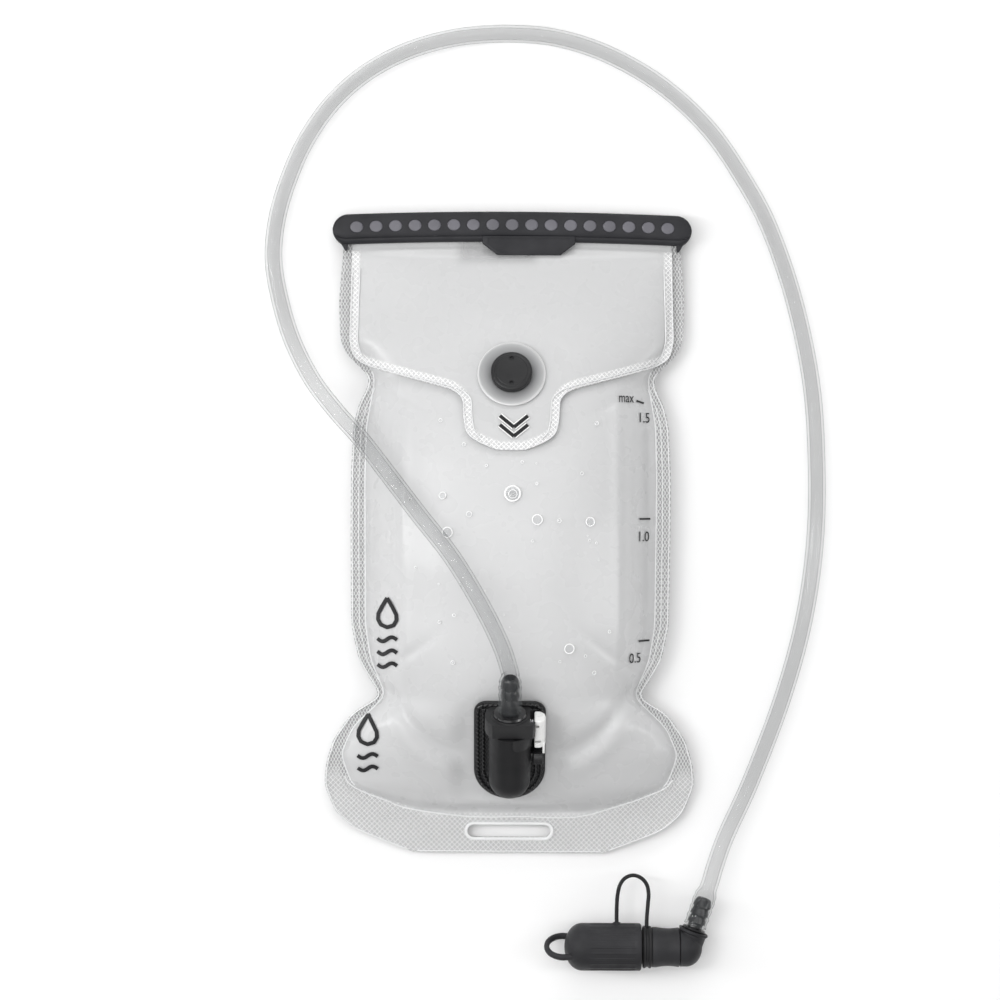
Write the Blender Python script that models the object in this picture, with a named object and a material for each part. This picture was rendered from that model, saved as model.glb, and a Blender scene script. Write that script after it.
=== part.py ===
"""Hydration bladder, 1.5 litre size: film reservoir, magnetic mouth, plug-in drink hose and bite valve.

The bladder lies on its back, filled.  Metres, +Z up, +Y towards the mouth rails, +X to the right seen from
above.  The origin is on the floor, under the middle of the bladder's own box (the hose is left out of it).
"""

import math

import bmesh
import bpy
from mathutils import Matrix, Vector

MM = 0.001
GAP = 0.3 * MM

# ---- reservoir -------------------------------------------------------------------------------------------
FILM = 0.8 * MM
BOTTOM_Y = -173.5 * MM
CHAMBER_END_Y = -151.6 * MM
# the back sheet is built in four lengths, parted at these heights: foot, lobe, body and neck
BACK_FOOT_TOP_Y = -152.0 * MM
BACK_LOBE_TOP_Y = -75.0 * MM
BACK_BODY_TOP_Y = 64.0 * MM
NECK_Y = 101.0 * MM
FLAP_HINGE_Y = 146.5 * MM
FILM_TOP_Y = 170.0 * MM
ROW_STEP = 13.0 * MM
COLUMNS = (0.0, 0.28, 0.46, 0.63, 0.78, 0.90, 1.0)
FULLNESS = 2.5
ROUNDNESS = 0.6

# outline of the welded sheets: (y, half width) in millimetres, from the bottom tab up to the rails
OUTLINE = (
    (-173.5, 51.6), (-161.3, 83.4), (-152.0, 94.0), (-137.0, 100.0), (-125.0, 99.0), (-112.0, 95.0),
    (-97.6, 85.0), (-91.0, 73.0), (-87.5, 69.8), (-80.0, 75.0), (-69.0, 81.5), (-50.0, 85.5),
    (0.0, 86.1), (30.0, 86.1), (57.0, 85.0), (68.0, 82.4), (76.8, 78.0), (83.3, 76.5), (89.0, 82.0),
    (95.0, 88.5), (103.0, 92.5), (125.0, 93.4), (157.0, 90.7), (170.0, 90.0),
)
# half width of the water chamber inside the welds
CHAMBER = (
    (-151.6, 46.0), (-150.0, 51.6), (-138.0, 84.2), (-120.0, 90.5), (-105.0, 84.0), (-91.0, 66.0),
    (-87.5, 63.0), (-69.0, 73.5), (-50.0, 77.5), (30.0, 78.1), (57.0, 77.0), (83.3, 69.5),
    (103.0, 84.5), (125.0, 85.6), (157.0, 83.5), (170.0, 83.0),
)
# inner face of the front sheet along the middle, and the weld plane at the sides: (y, z) in millimetres
CREST = (
    (-151.6, 6.3), (-147.0, 13.5), (-140.0, 19.5), (-120.0, 31.5), (-100.0, 42.5), (-85.0, 47.5),
    (-60.0, 51.0), (-20.0, 52.5), (10.0, 51.5), (40.0, 47.5), (60.0, 42.5), (84.0, 34.5), (100.0, 27.5),
    (120.0, 19.5), (140.0, 13.3), (150.0, 9.6), (156.0, 7.9), (170.0, 7.7),
)
WELD_PLANE = (
    (-173.5, 4.0), (-151.6, 5.5), (-120.0, 10.0), (-87.5, 13.0), (30.0, 14.0), (83.3, 10.0), (125.0, 7.6),
    (170.0, 7.4),
)
# underside of the back sheet: on the floor over the body, rising to the back rail
BACK_LINE = (
    (-173.5, 3.0), (-151.6, 2.6), (-138.0, 0.0), (80.0, 0.0), (110.0, 2.0), (150.0, 6.2), (157.0, 6.6),
    (170.0, 6.6),
)

HANG_SLOT_Y = -161.8 * MM
HANG_SLOT_LENGTH = 44.7 * MM
HANG_SLOT_HEIGHT = 6.5 * MM
SEAT_HALF_WIDTH = 36.0 * MM
PASSAGE_Y = -12.0 * MM
FILM_HOLE_RADIUS = 7.0 * MM
MOUTH_HINGE = (0.0, 101.2 * MM, 28.8 * MM)

# ---- mouth rails -----------------------------------------------------------------------------------------
RAIL_HALF_LENGTH = 96.8 * MM
RAIL_HEIGHT = 16.2 * MM
RAIL_THICKNESS = 5.6 * MM
RAIL_END_Y = 162.6 * MM
RAIL_BOW = 2.2 * MM
RAIL_MIDDLE_Z = 7.4 * MM
MAGNET_COUNT = 17
MAGNET_PITCH = 10.47 * MM
MAGNET_RADIUS = 3.4 * MM
MAGNET_RISE = 0.9 * MM
MAGNET_THICKNESS = 2.4 * MM
TAB_OFFSET = 9.0 * MM
TAB_LENGTH = 7.3 * MM
BACK_TAB_EXTRA = 3.0 * MM
TAB_HALF_TOP = 25.0 * MM
TAB_HALF_END = 16.5 * MM
TAB_THICKNESS = 2.4 * MM

# ---- flap ------------------------------------------------------------------------------------------------
FLAP_OUTLINE = (
    (43.9, 7.0), (45.2, 11.0), (48.9, 19.7), (52.8, 24.0), (60.5, 25.4), (71.0, 25.8), (76.6, 31.3),
    (81.4, 50.5), (86.5, 68.0), (90.0, 80.0), (94.5, 85.6), (103.0, 87.6), (146.5, 86.5),
)
FLAP_LIFT = 1.9 * MM
FLAP_EXTRA_LIFT = 0.4 * MM
FLAP_HOLE_RADIUS = 10.6 * MM
FLAP_HINGE = (0.0, FLAP_HINGE_Y, 15.0 * MM)

# ---- snap ------------------------------------------------------------------------------------------------
SNAP_Y = 83.2 * MM
SNAP_SEAT_Z = 33.4 * MM
SNAP_SLOPE = math.radians(19.5)
SNAP_SEAT_LENGTH = 26.0 * MM
SNAP_FLANGE_RADIUS = 17.8 * MM
SNAP_CAP_RADIUS = 11.0 * MM
SNAP_BASE_RADIUS = 6.4 * MM
SNAP_BOSS_RADIUS = 3.6 * MM
SNAP_FLANGE_BORE = 10.0 * MM
BASE_FLANGE_RADIUS = 16.5 * MM
PIN_HOLE_Y = 7.0 * MM

# ---- hose port -------------------------------------------------------------------------------------------
PORT_Y = -116.0 * MM
PORT_Z = 31.4 * MM
PORT_SLOPE = math.radians(28.5)
PORT_HALF_WIDTH = 19.0 * MM
PORT_TOP = 31.8 * MM
PORT_BOTTOM = -29.6 * MM
PORT_CORNER = 6.5 * MM
PORT_SEAT_END_Y = -79.0 * MM
PLATE_THICKNESS = 2.0 * MM
HOUSING_FOOT = PLATE_THICKNESS + GAP
HOUSING_RADIUS = 11.0 * MM
HOUSING_AXIS = 11.4 * MM
HOUSING_BACK = -22.3 * MM
HOUSING_FRONT = 20.9 * MM
HEAD_FRONT = 29.5 * MM
HEAD_RADIUS = 13.2 * MM
HEAD_FLAT = -9.6 * MM
BORE_RADIUS = 6.4 * MM
PLUG_RADIUS = 6.1 * MM
BARB_TIP = 53.0 * MM
BARB_ROOT_RADIUS = 4.0 * MM
BARB_TOOTH_RADIUS = 5.0 * MM
BARB_TEETH = 3
SPRING_WELL_Z = 25.4 * MM
SEAT_Z = -4.9 * MM
POPPET_TRAVEL = 4.0 * MM

# ---- hose and bite valve ---------------------------------------------------------------------------------
HOSE_RADIUS = 4.75 * MM
HOSE_POINTS = 52
VALVE_Y = -223.1 * MM
VALVE_Z = 12.9 * MM
CAP_LEFT_X = 30.1 * MM
CAP_RIGHT_X = 71.4 * MM
CAP_RADIUS = 12.7 * MM
COLLAR_RIGHT_X = 77.0 * MM
BODY_RIGHT_X = 92.0 * MM
ELBOW_RIGHT_X = 104.4 * MM
BODY_RADIUS = 10.6 * MM
VALVE_BARB_X = 96.5 * MM
VALVE_BARB_LEAN = math.radians(19.0)
VALVE_BARB_TIP = 28.0 * MM
CAP_RING_TILT = math.radians(60.0)
STRAP_RADIUS = 1.2 * MM
# middle line of the tether's strap from its collar over to the cap: (x, height above the valve's axis)
STRAP = (
    (74.4, 10.4), (74.4, 12.0), (74.6, 17.0), (75.1, 23.5), (75.4, 29.0), (74.2, 34.0), (71.0, 37.4),
    (66.8, 38.6), (62.6, 37.0), (59.9, 33.2), (58.7, 28.0), (58.3, 22.0), (58.2, 16.5), (58.3, 13.4),
)
# route of the hose's centreline after the port barb, down to the valve barb, in millimetres
ROUTE = (
    (-4.8, -58.0, 70.5), (-15.0, -37.5, 71.0), (-30.5, -12.5, 66.0), (-48.5, 10.0, 57.0),
    (-65.5, 31.5, 45.0), (-80.0, 49.5, 32.5), (-94.0, 64.7, 21.5), (-107.5, 82.0, 12.5),
    (-118.5, 103.0, 7.2), (-125.5, 125.0, 4.9), (-129.2, 147.0, 4.9), (-127.5, 168.6, 4.9),
    (-121.5, 190.0, 4.9), (-111.8, 212.0, 4.9), (-97.0, 233.0, 4.9), (-78.0, 249.5, 4.9),
    (-54.5, 261.5, 4.9), (-27.0, 268.5, 4.9), (2.0, 270.0, 4.9), (28.0, 267.0, 4.9), (55.0, 257.5, 4.9),
    (82.5, 241.0, 4.9), (107.0, 218.0, 4.9), (126.2, 190.2, 4.9), (140.0, 164.0, 4.9), (153.2, 125.5, 4.9),
    (162.4, 82.2, 4.9), (165.6, 39.0, 4.9), (165.0, -4.2, 4.9), (159.0, -47.5, 4.9), (147.5, -90.0, 4.9),
    (131.0, -133.8, 5.4), (117.3, -163.5, 8.0), (111.2, -180.0, 10.4),
)


# ---- small helpers ---------------------------------------------------------------------------------------
def table(rows, y):
    """Read a value off a short list of (y, value) rows given in millimetres; metres out."""
    y = y / MM
    if y <= rows[0][0]:
        return rows[0][1] * MM
    for (y0, v0), (y1, v1) in zip(rows, rows[1:]):
        if y <= y1:
            t = (y - y0) / (y1 - y0)
            return (v0 + (v1 - v0) * t) * MM
    return rows[-1][1] * MM


def material(name, color, roughness, metallic=0.0, alpha=1.0):
    made = bpy.data.materials.get(name)
    if made:
        return made
    made = bpy.data.materials.new(name)
    made.use_nodes = True
    shader = made.node_tree.nodes["Principled BSDF"]
    shader.inputs["Base Color"].default_value = (*color, 1.0)
    shader.inputs["Roughness"].default_value = roughness
    shader.inputs["Metallic"].default_value = metallic
    shader.inputs["Alpha"].default_value = alpha
    return made


def film_clear():
    return material("film_clear", (0.80, 0.81, 0.82), 0.35, alpha=0.55)


def rail_dark():
    return material("rail_dark", (0.045, 0.045, 0.048), 0.5)


def magnet_grey():
    return material("magnet_grey", (0.11, 0.11, 0.13), 0.4, metallic=0.3)


def snap_grey():
    return material("snap_grey", (0.35, 0.35, 0.37), 0.4, alpha=0.8)


def black_plastic():
    return material("black_plastic", (0.018, 0.018, 0.02), 0.45)


def gloss_black():
    return material("gloss_black", (0.012, 0.012, 0.013), 0.18)


def white_plastic():
    return material("white_plastic", (0.85, 0.85, 0.84), 0.35)


def spring_steel():
    return material("spring_steel", (0.6, 0.6, 0.62), 0.3, metallic=1.0)


def seal_rubber():
    return material("seal_rubber", (0.02, 0.02, 0.02), 0.8)


def silicone():
    return material("silicone", (0.05, 0.05, 0.055), 0.6)


def hose_clear():
    return material("hose_clear", (0.86, 0.88, 0.88), 0.08, alpha=0.4)


def matt_black():
    return material("matt_black", (0.03, 0.03, 0.032), 0.6)


def add(name, bm, look, place=None, angle=40.0):
    """Turn a bmesh into a named object with outward faces, shaded smooth up to an angle."""
    bmesh.ops.remove_doubles(bm, verts=bm.verts, dist=0.001 * MM)
    bmesh.ops.recalc_face_normals(bm, faces=bm.faces)
    mesh = bpy.data.meshes.new(name)
    bm.to_mesh(mesh)
    bm.free()
    mesh.shade_smooth()
    mesh.set_sharp_from_angle(angle=math.radians(angle))
    made = bpy.data.objects.new(name, mesh)
    bpy.context.scene.collection.objects.link(made)
    if look:
        mesh.materials.append(look)
    if place:
        made.matrix_world = place
    return made


def helper(made):
    made.hide_render = True
    made.display_type = "WIRE"
    made.hide_set(True)
    return made


def boolean(target, tool, operation="DIFFERENCE"):
    step = target.modifiers.new(tool.name, "BOOLEAN")
    step.operation = operation
    step.solver = "EXACT"
    step.object = helper(tool)
    return target


def turned(profile, sides):
    """A solid of revolution about local Z from a closed outline of (radius, z) points."""
    bm = bmesh.new()
    rings = []
    for r, z in profile:
        if r < 1e-9:
            rings.append([bm.verts.new((0, 0, z))])
            continue
        ring = []
        for k in range(sides):
            a = 2 * math.pi * k / sides
            ring.append(bm.verts.new((r * math.cos(a), r * math.sin(a), z)))
        rings.append(ring)
    for low, high in zip(rings, rings[1:] + rings[:1]):
        for k in range(sides):
            n = (k + 1) % sides
            corners = [low[k % len(low)], low[n % len(low)], high[n % len(high)], high[k % len(high)]]
            unique = list(dict.fromkeys(corners))
            if len(unique) > 2:
                bm.faces.new(unique)
    return bm


def extruded(points, low, high):
    """A straight prism: 2-D outline in local X and Y, from z low to z high."""
    bm = bmesh.new()
    base = [bm.verts.new((x, y, low)) for x, y in points]
    top = [bm.verts.new((x, y, high)) for x, y in points]
    count = len(points)
    bm.faces.new(base[::-1])
    bm.faces.new(top)
    for k in range(count):
        n = (k + 1) % count
        bm.faces.new((base[k], base[n], top[n], top[k]))
    return bm


def arc(cx, cy, radius, start, end, steps):
    """Points on an arc, angles in degrees."""
    made = []
    for k in range(steps + 1):
        a = math.radians(start + (end - start) * k / steps)
        made.append((cx + radius * math.cos(a), cy + radius * math.sin(a)))
    return made


def along(axis, origin):
    """A matrix whose local Z points along axis."""
    return Matrix.Translation(origin) @ Vector(axis).to_track_quat("Z", "Y").to_matrix().to_4x4()


def torus(ring, wire, ring_sides, wire_sides):
    bm = bmesh.new()
    loops = []
    for k in range(ring_sides):
        a = 2 * math.pi * k / ring_sides
        loop = []
        for j in range(wire_sides):
            b = 2 * math.pi * j / wire_sides
            r = ring + wire * math.cos(b)
            loop.append(bm.verts.new((r * math.cos(a), r * math.sin(a), wire * math.sin(b))))
        loops.append(loop)
    for k in range(ring_sides):
        here, there = loops[k], loops[(k + 1) % ring_sides]
        for j in range(wire_sides):
            n = (j + 1) % wire_sides
            bm.faces.new((here[j], there[j], there[n], here[n]))
    return bm


def swept(points, radius, sides):
    """A round bar through points, with flat ends; frames are carried along without twist."""
    bm = bmesh.new()
    points = [Vector(p) for p in points]
    normal = None
    loops = []
    for k, p in enumerate(points):
        ahead = points[min(k + 1, len(points) - 1)] - points[max(k - 1, 0)]
        ahead.normalize()
        if normal is None:
            normal = ahead.orthogonal().normalized()
        normal = (normal - ahead * normal.dot(ahead)).normalized()
        side = ahead.cross(normal)
        loop = []
        for j in range(sides):
            b = 2 * math.pi * j / sides
            loop.append(bm.verts.new(p + radius * (math.cos(b) * normal + math.sin(b) * side)))
        loops.append(loop)
    for here, there in zip(loops, loops[1:]):
        for j in range(sides):
            n = (j + 1) % sides
            bm.faces.new((here[j], here[n], there[n], there[j]))
    bm.faces.new(loops[0][::-1])
    bm.faces.new(loops[-1])
    return bm


def coil(radius, wire, length, turns, steps_per_turn=8, sides=5):
    """A compression spring along local Z from z = 0."""
    count = int(turns * steps_per_turn)
    points = []
    for k in range(count + 1):
        a = 2 * math.pi * k / steps_per_turn
        points.append((radius * math.cos(a), radius * math.sin(a), wire + (length - 2 * wire) * k / count))
    return swept(points, wire, sides)


# ---- film surfaces ---------------------------------------------------------------------------------------
def snap_plane(y):
    return SNAP_SEAT_Z - (y - SNAP_Y) * math.tan(SNAP_SLOPE)


def port_plane(y):
    return PORT_Z - FILM / math.cos(PORT_SLOPE) + (y - PORT_Y) * math.tan(PORT_SLOPE)


def bulge(x, y):
    """How full the chamber is at (x, y): 1 on the middle line, 0 at the welds."""
    t = abs(x) / table(CHAMBER, y)
    if t >= 1.0 or y <= CHAMBER_END_Y:
        return 0.0
    return (1.0 - t**FULLNESS) ** ROUNDNESS


def front_z(x, y):
    """Inner face of the front sheet, with flat seats under the snap and the port."""
    weld = table(WELD_PLANE, y) + GAP / 2
    if y <= CHAMBER_END_Y:
        return weld
    z = weld + (table(CREST, y) - weld) * bulge(x, y)
    if abs(x) < SEAT_HALF_WIDTH and abs(y - SNAP_Y) < SNAP_SEAT_LENGTH:
        z = min(z, snap_plane(y))
    if abs(x) < SEAT_HALF_WIDTH and y < PORT_SEAT_END_Y:
        z = min(z, port_plane(y))
    return z


def back_z(x, y):
    """Inner face of the back sheet: flat on the floor, turned up to the weld plane at its edges."""
    weld = table(WELD_PLANE, y) - GAP / 2
    floor = table(BACK_LINE, y) + FILM
    t = min(abs(x) / table(CHAMBER, y), 1.0)
    if y <= CHAMBER_END_Y:
        return weld
    rise = max(0.0, (t - 0.70) / 0.30)
    return floor + (weld - floor) * rise * rise


def flap_z(x, y):
    """Under face of the flap, which rests on the front sheet and is held off it by the snap's base."""
    reach = math.hypot(x, y - SNAP_Y)
    near_snap = max(0.0, 1 - reach / (40 * MM))
    return front_z(x, y) + FILM / math.cos(SNAP_SLOPE) + FLAP_LIFT + FLAP_EXTRA_LIFT * near_snap


def rows_between(low, high, rows):
    """Stations along the bladder: every corner of the outline, and even steps between far ones."""
    marks = sorted({low, high} | {y * MM for y, _ in rows if low < y * MM < high})
    made = [marks[0]]
    for y in marks[1:]:
        steps = max(1, math.ceil((y - made[-1]) / ROW_STEP - 0.35))
        start = made[-1]
        made += [start + (y - start) * k / steps for k in range(1, steps + 1)]
    return made


def sheet(name, rows, height, half_width, look, up):
    """A film sheet: one grid over the stations, thickened away from the water by FILM."""
    bm = bmesh.new()
    across = [-u for u in COLUMNS[:0:-1]] + list(COLUMNS)
    lines = []
    for y in rows:
        w = half_width(y)
        lines.append([bm.verts.new((u * w, y, height(u * w, y))) for u in across])
    for here, there in zip(lines, lines[1:]):
        for k in range(len(across) - 1):
            bm.faces.new((here[k], here[k + 1], there[k + 1], there[k]))
    bm.normal_update()
    inner = list(bm.verts)
    rim = [e.verts[:] for e in bm.edges if e.is_boundary]
    outer = {v: bm.verts.new(v.co + v.normal * (FILM if up else -FILM)) for v in inner}
    for f in list(bm.faces):
        bm.faces.new([outer[v] for v in reversed(f.verts)])
    for a, b in rim:
        bm.faces.new((a, b, outer[b], outer[a]))
    bmesh.ops.triangulate(bm, faces=bm.faces)
    return add(name, bm, look)


def hang_slot_cutter():
    r = HANG_SLOT_HEIGHT / 2
    x = HANG_SLOT_LENGTH / 2 - r
    outline = arc(x, 0, r, -90, 90, 6) + arc(-x, 0, r, 90, 270, 6)
    bm = extruded(outline, -10 * MM, 30 * MM)
    return add("hang_slot_cutter", bm, None, Matrix.Translation((0, HANG_SLOT_Y, 0)))


def reservoir():
    def width(y):
        return table(OUTLINE, y)

    back_lengths = (
        ("back_foot", BOTTOM_Y, BACK_FOOT_TOP_Y),
        ("back_lobe", CHAMBER_END_Y, BACK_LOBE_TOP_Y),
        ("back_film", BACK_LOBE_TOP_Y + GAP, BACK_BODY_TOP_Y),
        ("back_neck", BACK_BODY_TOP_Y + GAP, FILM_TOP_Y),
    )
    back = [sheet(name, rows_between(low, high, OUTLINE), back_z, width, film_clear(), False)
            for name, low, high in back_lengths]
    front_rows = rows_between(BOTTOM_Y, NECK_Y, OUTLINE)
    neck_rows = rows_between(NECK_Y + GAP, FILM_TOP_Y, OUTLINE)
    front = sheet("front_film", front_rows, front_z, width, film_clear(), True)
    sheet("neck_film", neck_rows, front_z, width, film_clear(), True)
    slot = hang_slot_cutter()
    boolean(back[0], slot)
    boolean(front, slot)
    boolean(front, passage_cutter("port_hole_cutter", FILM_HOLE_RADIUS, 6 * MM))


def flap():
    rows = rows_between(FLAP_OUTLINE[0][0] * MM, FLAP_HINGE_Y - GAP, FLAP_OUTLINE)
    made = sheet("flap_film", rows, flap_z, lambda y: table(FLAP_OUTLINE, y), film_clear(), True)
    r = FLAP_HOLE_RADIUS
    hole = turned([(0, -6 * MM), (r, -6 * MM), (r, 9 * MM), (0, 9 * MM)], 24)
    boolean(made, add("flap_hole_cutter", hole, None, snap_frame()))


# ---- rails -----------------------------------------------------------------------------------------------
def rail_middle(x):
    """Height of the gently bowed rail's middle line."""
    return RAIL_END_Y + RAIL_BOW * (1 - (x / RAIL_HALF_LENGTH) ** 2)


def magnet_places():
    middle = (MAGNET_COUNT - 1) / 2
    for k in range(MAGNET_COUNT):
        x = (k - middle) * MAGNET_PITCH
        yield k + 1, x, rail_middle(x) + MAGNET_RISE


def rail_outline():
    r = RAIL_HEIGHT / 2
    inner = RAIL_HALF_LENGTH - r
    steps = 12
    top = []
    bottom = []
    for k in range(1, steps):
        x = -inner + 2 * inner * k / steps
        top.append((x, rail_middle(x) + r))
        bottom.append((-x, rail_middle(x) - r))
    left = arc(-inner, rail_middle(inner), r, 270, 90, 8)
    right = arc(inner, rail_middle(inner), r, 90, -90, 8)
    return left + top + right + bottom


def tab_outline(offset, extra=0.0):
    top = rail_middle(0) - RAIL_HEIGHT / 2 + 2 * MM
    end = top - 2 * MM - TAB_LENGTH - extra
    return [
        (offset - TAB_HALF_TOP, top), (offset - TAB_HALF_TOP + 1 * MM, top - 3 * MM),
        (offset - TAB_HALF_END - 1 * MM, end + 1 * MM), (offset - TAB_HALF_END + 2 * MM, end),
        (offset + TAB_HALF_END - 2 * MM, end), (offset + TAB_HALF_END + 1 * MM, end + 1 * MM),
        (offset + TAB_HALF_TOP - 1 * MM, top - 3 * MM), (offset + TAB_HALF_TOP, top),
    ]


def rail(name, low, high, tab_low, tab_high, offset, extra, pocket_low, pocket_high):
    """One bowed rail with a pull tab and a row of round magnet pockets."""
    made = add(name, extruded(rail_outline(), low, high), rail_dark())
    tab = add(name + "_tab_shape", extruded(tab_outline(offset, extra), tab_low, tab_high), None)
    boolean(made, tab, "UNION")
    pockets = bmesh.new()
    for _, x, y in magnet_places():
        place = Matrix.Translation((x, y, (pocket_low + pocket_high) / 2))
        r = MAGNET_RADIUS + GAP
        bmesh.ops.create_cone(pockets, cap_ends=True, segments=12, radius1=r, radius2=r,
                              depth=pocket_high - pocket_low, matrix=place)
    boolean(made, add(name + "_pocket_cutter", pockets, None))
    return made


def rails_and_magnets():
    front_low = RAIL_MIDDLE_Z + 1.6 * MM
    front_high = front_low + RAIL_THICKNESS
    floor = front_high - MAGNET_THICKNESS - 0.8 * MM
    rail("front_rail", front_low, front_high, front_high - TAB_THICKNESS, front_high, TAB_OFFSET, 0.0,
         floor, front_high + 1 * MM)
    for number, x, y in magnet_places():
        profile = [(0, 0), (MAGNET_RADIUS, 0), (MAGNET_RADIUS, MAGNET_THICKNESS), (0, MAGNET_THICKNESS)]
        place = Matrix.Translation((x, y, floor + GAP))
        add(f"front_magnet_{number:02d}", turned(profile, 12), magnet_grey(), place)
    back_high = RAIL_MIDDLE_Z - 1.6 * MM
    back_low = 0.0
    rail("back_rail", back_low, back_high, back_low + 1.0 * MM, back_low + 1.0 * MM + TAB_THICKNESS * 0.8,
         -TAB_OFFSET, BACK_TAB_EXTRA, 2.0 * MM, back_high + 1 * MM)
    back_magnet_strip(2.0 * MM + GAP, back_high)


def back_magnet_strip(low, high):
    """Magnets of the back rail on one thin carrier web, in the rail's pockets."""
    web = []
    half = (MAGNET_COUNT - 1) / 2 * MAGNET_PITCH
    steps = 16
    for side in (1, -1):
        for k in range(steps + 1):
            x = (-half + 2 * half * k / steps) * side
            web.append((x, rail_middle(x) + MAGNET_RISE - side * 1.2 * MM))
    web_low = high + GAP * 0.4
    strip = add("back_magnet_strip", extruded(web, web_low, web_low + 0.25 * MM), magnet_grey())
    discs = bmesh.new()
    depth = web_low + 0.2 * MM - low
    for _, x, y in magnet_places():
        place = Matrix.Translation((x, y, low + depth / 2))
        bmesh.ops.create_cone(discs, cap_ends=True, segments=8, radius1=MAGNET_RADIUS, radius2=MAGNET_RADIUS,
                              depth=depth, matrix=place)
    boolean(strip, add("back_magnet_shape", discs, None), "UNION")


# ---- snap ------------------------------------------------------------------------------------------------
def snap_frame():
    """Local Z is the outward normal of the front sheet under the snap; local Y runs up the bladder."""
    z = SNAP_SEAT_Z + FILM / math.cos(SNAP_SLOPE)
    return Matrix.Translation((0, SNAP_Y, z)) @ Matrix.Rotation(-SNAP_SLOPE, 4, "X")


def snap():
    place = snap_frame()
    m = MM
    r = BASE_FLANGE_RADIUS
    flange = [(0, GAP), (r, GAP), (r, 0.9 * m), (0, 0.9 * m)]
    add("snap_base_flange", turned(flange, 32), snap_grey(), place)
    base_bottom = [(3.9 * m, 1.2 * m), (SNAP_BASE_RADIUS, 1.2 * m), (SNAP_BASE_RADIUS, 5.2 * m),
                   (4.1 * m, 5.2 * m), (4.1 * m, 3.2 * m), (0, 3.2 * m), (0, 2.5 * m), (3.9 * m, 2.5 * m)]
    base = add("snap_base", turned(base_bottom, 24), gloss_black(), place)
    gate = [(-4.1 * m, -9 * m), (4.1 * m, -9 * m), (4.1 * m, 0), (-4.1 * m, 0)]
    boolean(base, add("snap_gate_cutter", extruded(gate, 3.2 * m, 7 * m), None, place))
    magnet = [(0, 1.2 * m), (3.6 * m, 1.2 * m), (3.6 * m, 2.2 * m), (0, 2.2 * m)]
    add("snap_base_magnet", turned(magnet, 16), magnet_grey(), place)
    r = SNAP_FLANGE_RADIUS
    ring = [(SNAP_FLANGE_BORE, 2.9 * m), (r, 2.9 * m), (r, 3.4 * m), (r - 0.5 * m, 3.7 * m),
            (SNAP_FLANGE_BORE, 3.7 * m)]
    add("snap_flange", turned(ring, 28), snap_grey(), place)
    r = SNAP_CAP_RADIUS
    cap = [(0, 8.2 * m), (r - 1.0 * m, 8.2 * m), (r - 0.2 * m, 7.8 * m), (r, 7.2 * m), (r, 4.0 * m),
           (9.9 * m, 4.0 * m), (9.9 * m, 5.6 * m), (SNAP_BOSS_RADIUS, 5.6 * m), (SNAP_BOSS_RADIUS, 3.6 * m),
           (2.6 * m, 3.6 * m), (2.6 * m, 5.4 * m), (0, 5.4 * m)]
    made = add("snap_cap", turned(cap, 24), black_plastic(), place)
    holes = bmesh.new()
    for y in (-PIN_HOLE_Y, PIN_HOLE_Y):
        bmesh.ops.create_cone(holes, cap_ends=True, segments=10, radius1=1.0 * m, radius2=1.0 * m,
                              depth=2.0 * m, matrix=Matrix.Translation((0, y, 8.4 * m)))
    boolean(made, add("snap_pin_hole_cutter", holes, None, place))
    magnet = [(0, 3.7 * m), (2.3 * m, 3.7 * m), (2.3 * m, 5.1 * m), (0, 5.1 * m)]
    add("snap_magnet", turned(magnet, 12), magnet_grey(), place)


# ---- port ------------------------------------------------------------------------------------------------
def port_frame():
    """Local Z is the plate's normal, local Y runs out along the hose plug."""
    return Matrix.Translation((0, PORT_Y, PORT_Z)) @ Matrix.Rotation(PORT_SLOPE, 4, "X")


def port_axis():
    """Local Z runs out along the plug's axis, local Y is the plate's normal, down into the bladder."""
    return port_frame() @ Matrix.Translation((0, 0, HOUSING_AXIS)) @ Matrix.Rotation(-math.pi / 2, 4, "X")


def passage_cutter(name, radius, top):
    """A round cutter through film, plate and housing foot, where the water leaves the bladder."""
    profile = [(0, -8 * MM), (radius, -8 * MM), (radius, top), (0, top)]
    return add(name, turned(profile, 16), None, port_frame() @ Matrix.Translation((0, PASSAGE_Y, 0)))


def foot_cutter(name):
    """Everything under the flat foot that stands on the weld plate."""
    under = [(-20 * MM, -50 * MM), (20 * MM, -50 * MM), (20 * MM, 50 * MM), (-20 * MM, 50 * MM)]
    return add(name, extruded(under, -30 * MM, HOUSING_FOOT), None, port_frame())


def plate_outline():
    inner = PORT_HALF_WIDTH - PORT_CORNER
    top = PORT_TOP - PORT_CORNER
    points = arc(inner, top, PORT_CORNER, 0, 90, 5)
    points += arc(-inner, top, PORT_CORNER, 90, 180, 5)
    points += arc(0, PORT_BOTTOM + PORT_HALF_WIDTH, PORT_HALF_WIDTH, 180, 360, 16)
    return points


def port_plate():
    shape = extruded(plate_outline(), GAP, PLATE_THICKNESS)
    plate = add("port_flange", shape, black_plastic(), port_frame())
    boolean(plate, passage_cutter("plate_hole_cutter", BORE_RADIUS, 6 * MM))


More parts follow.
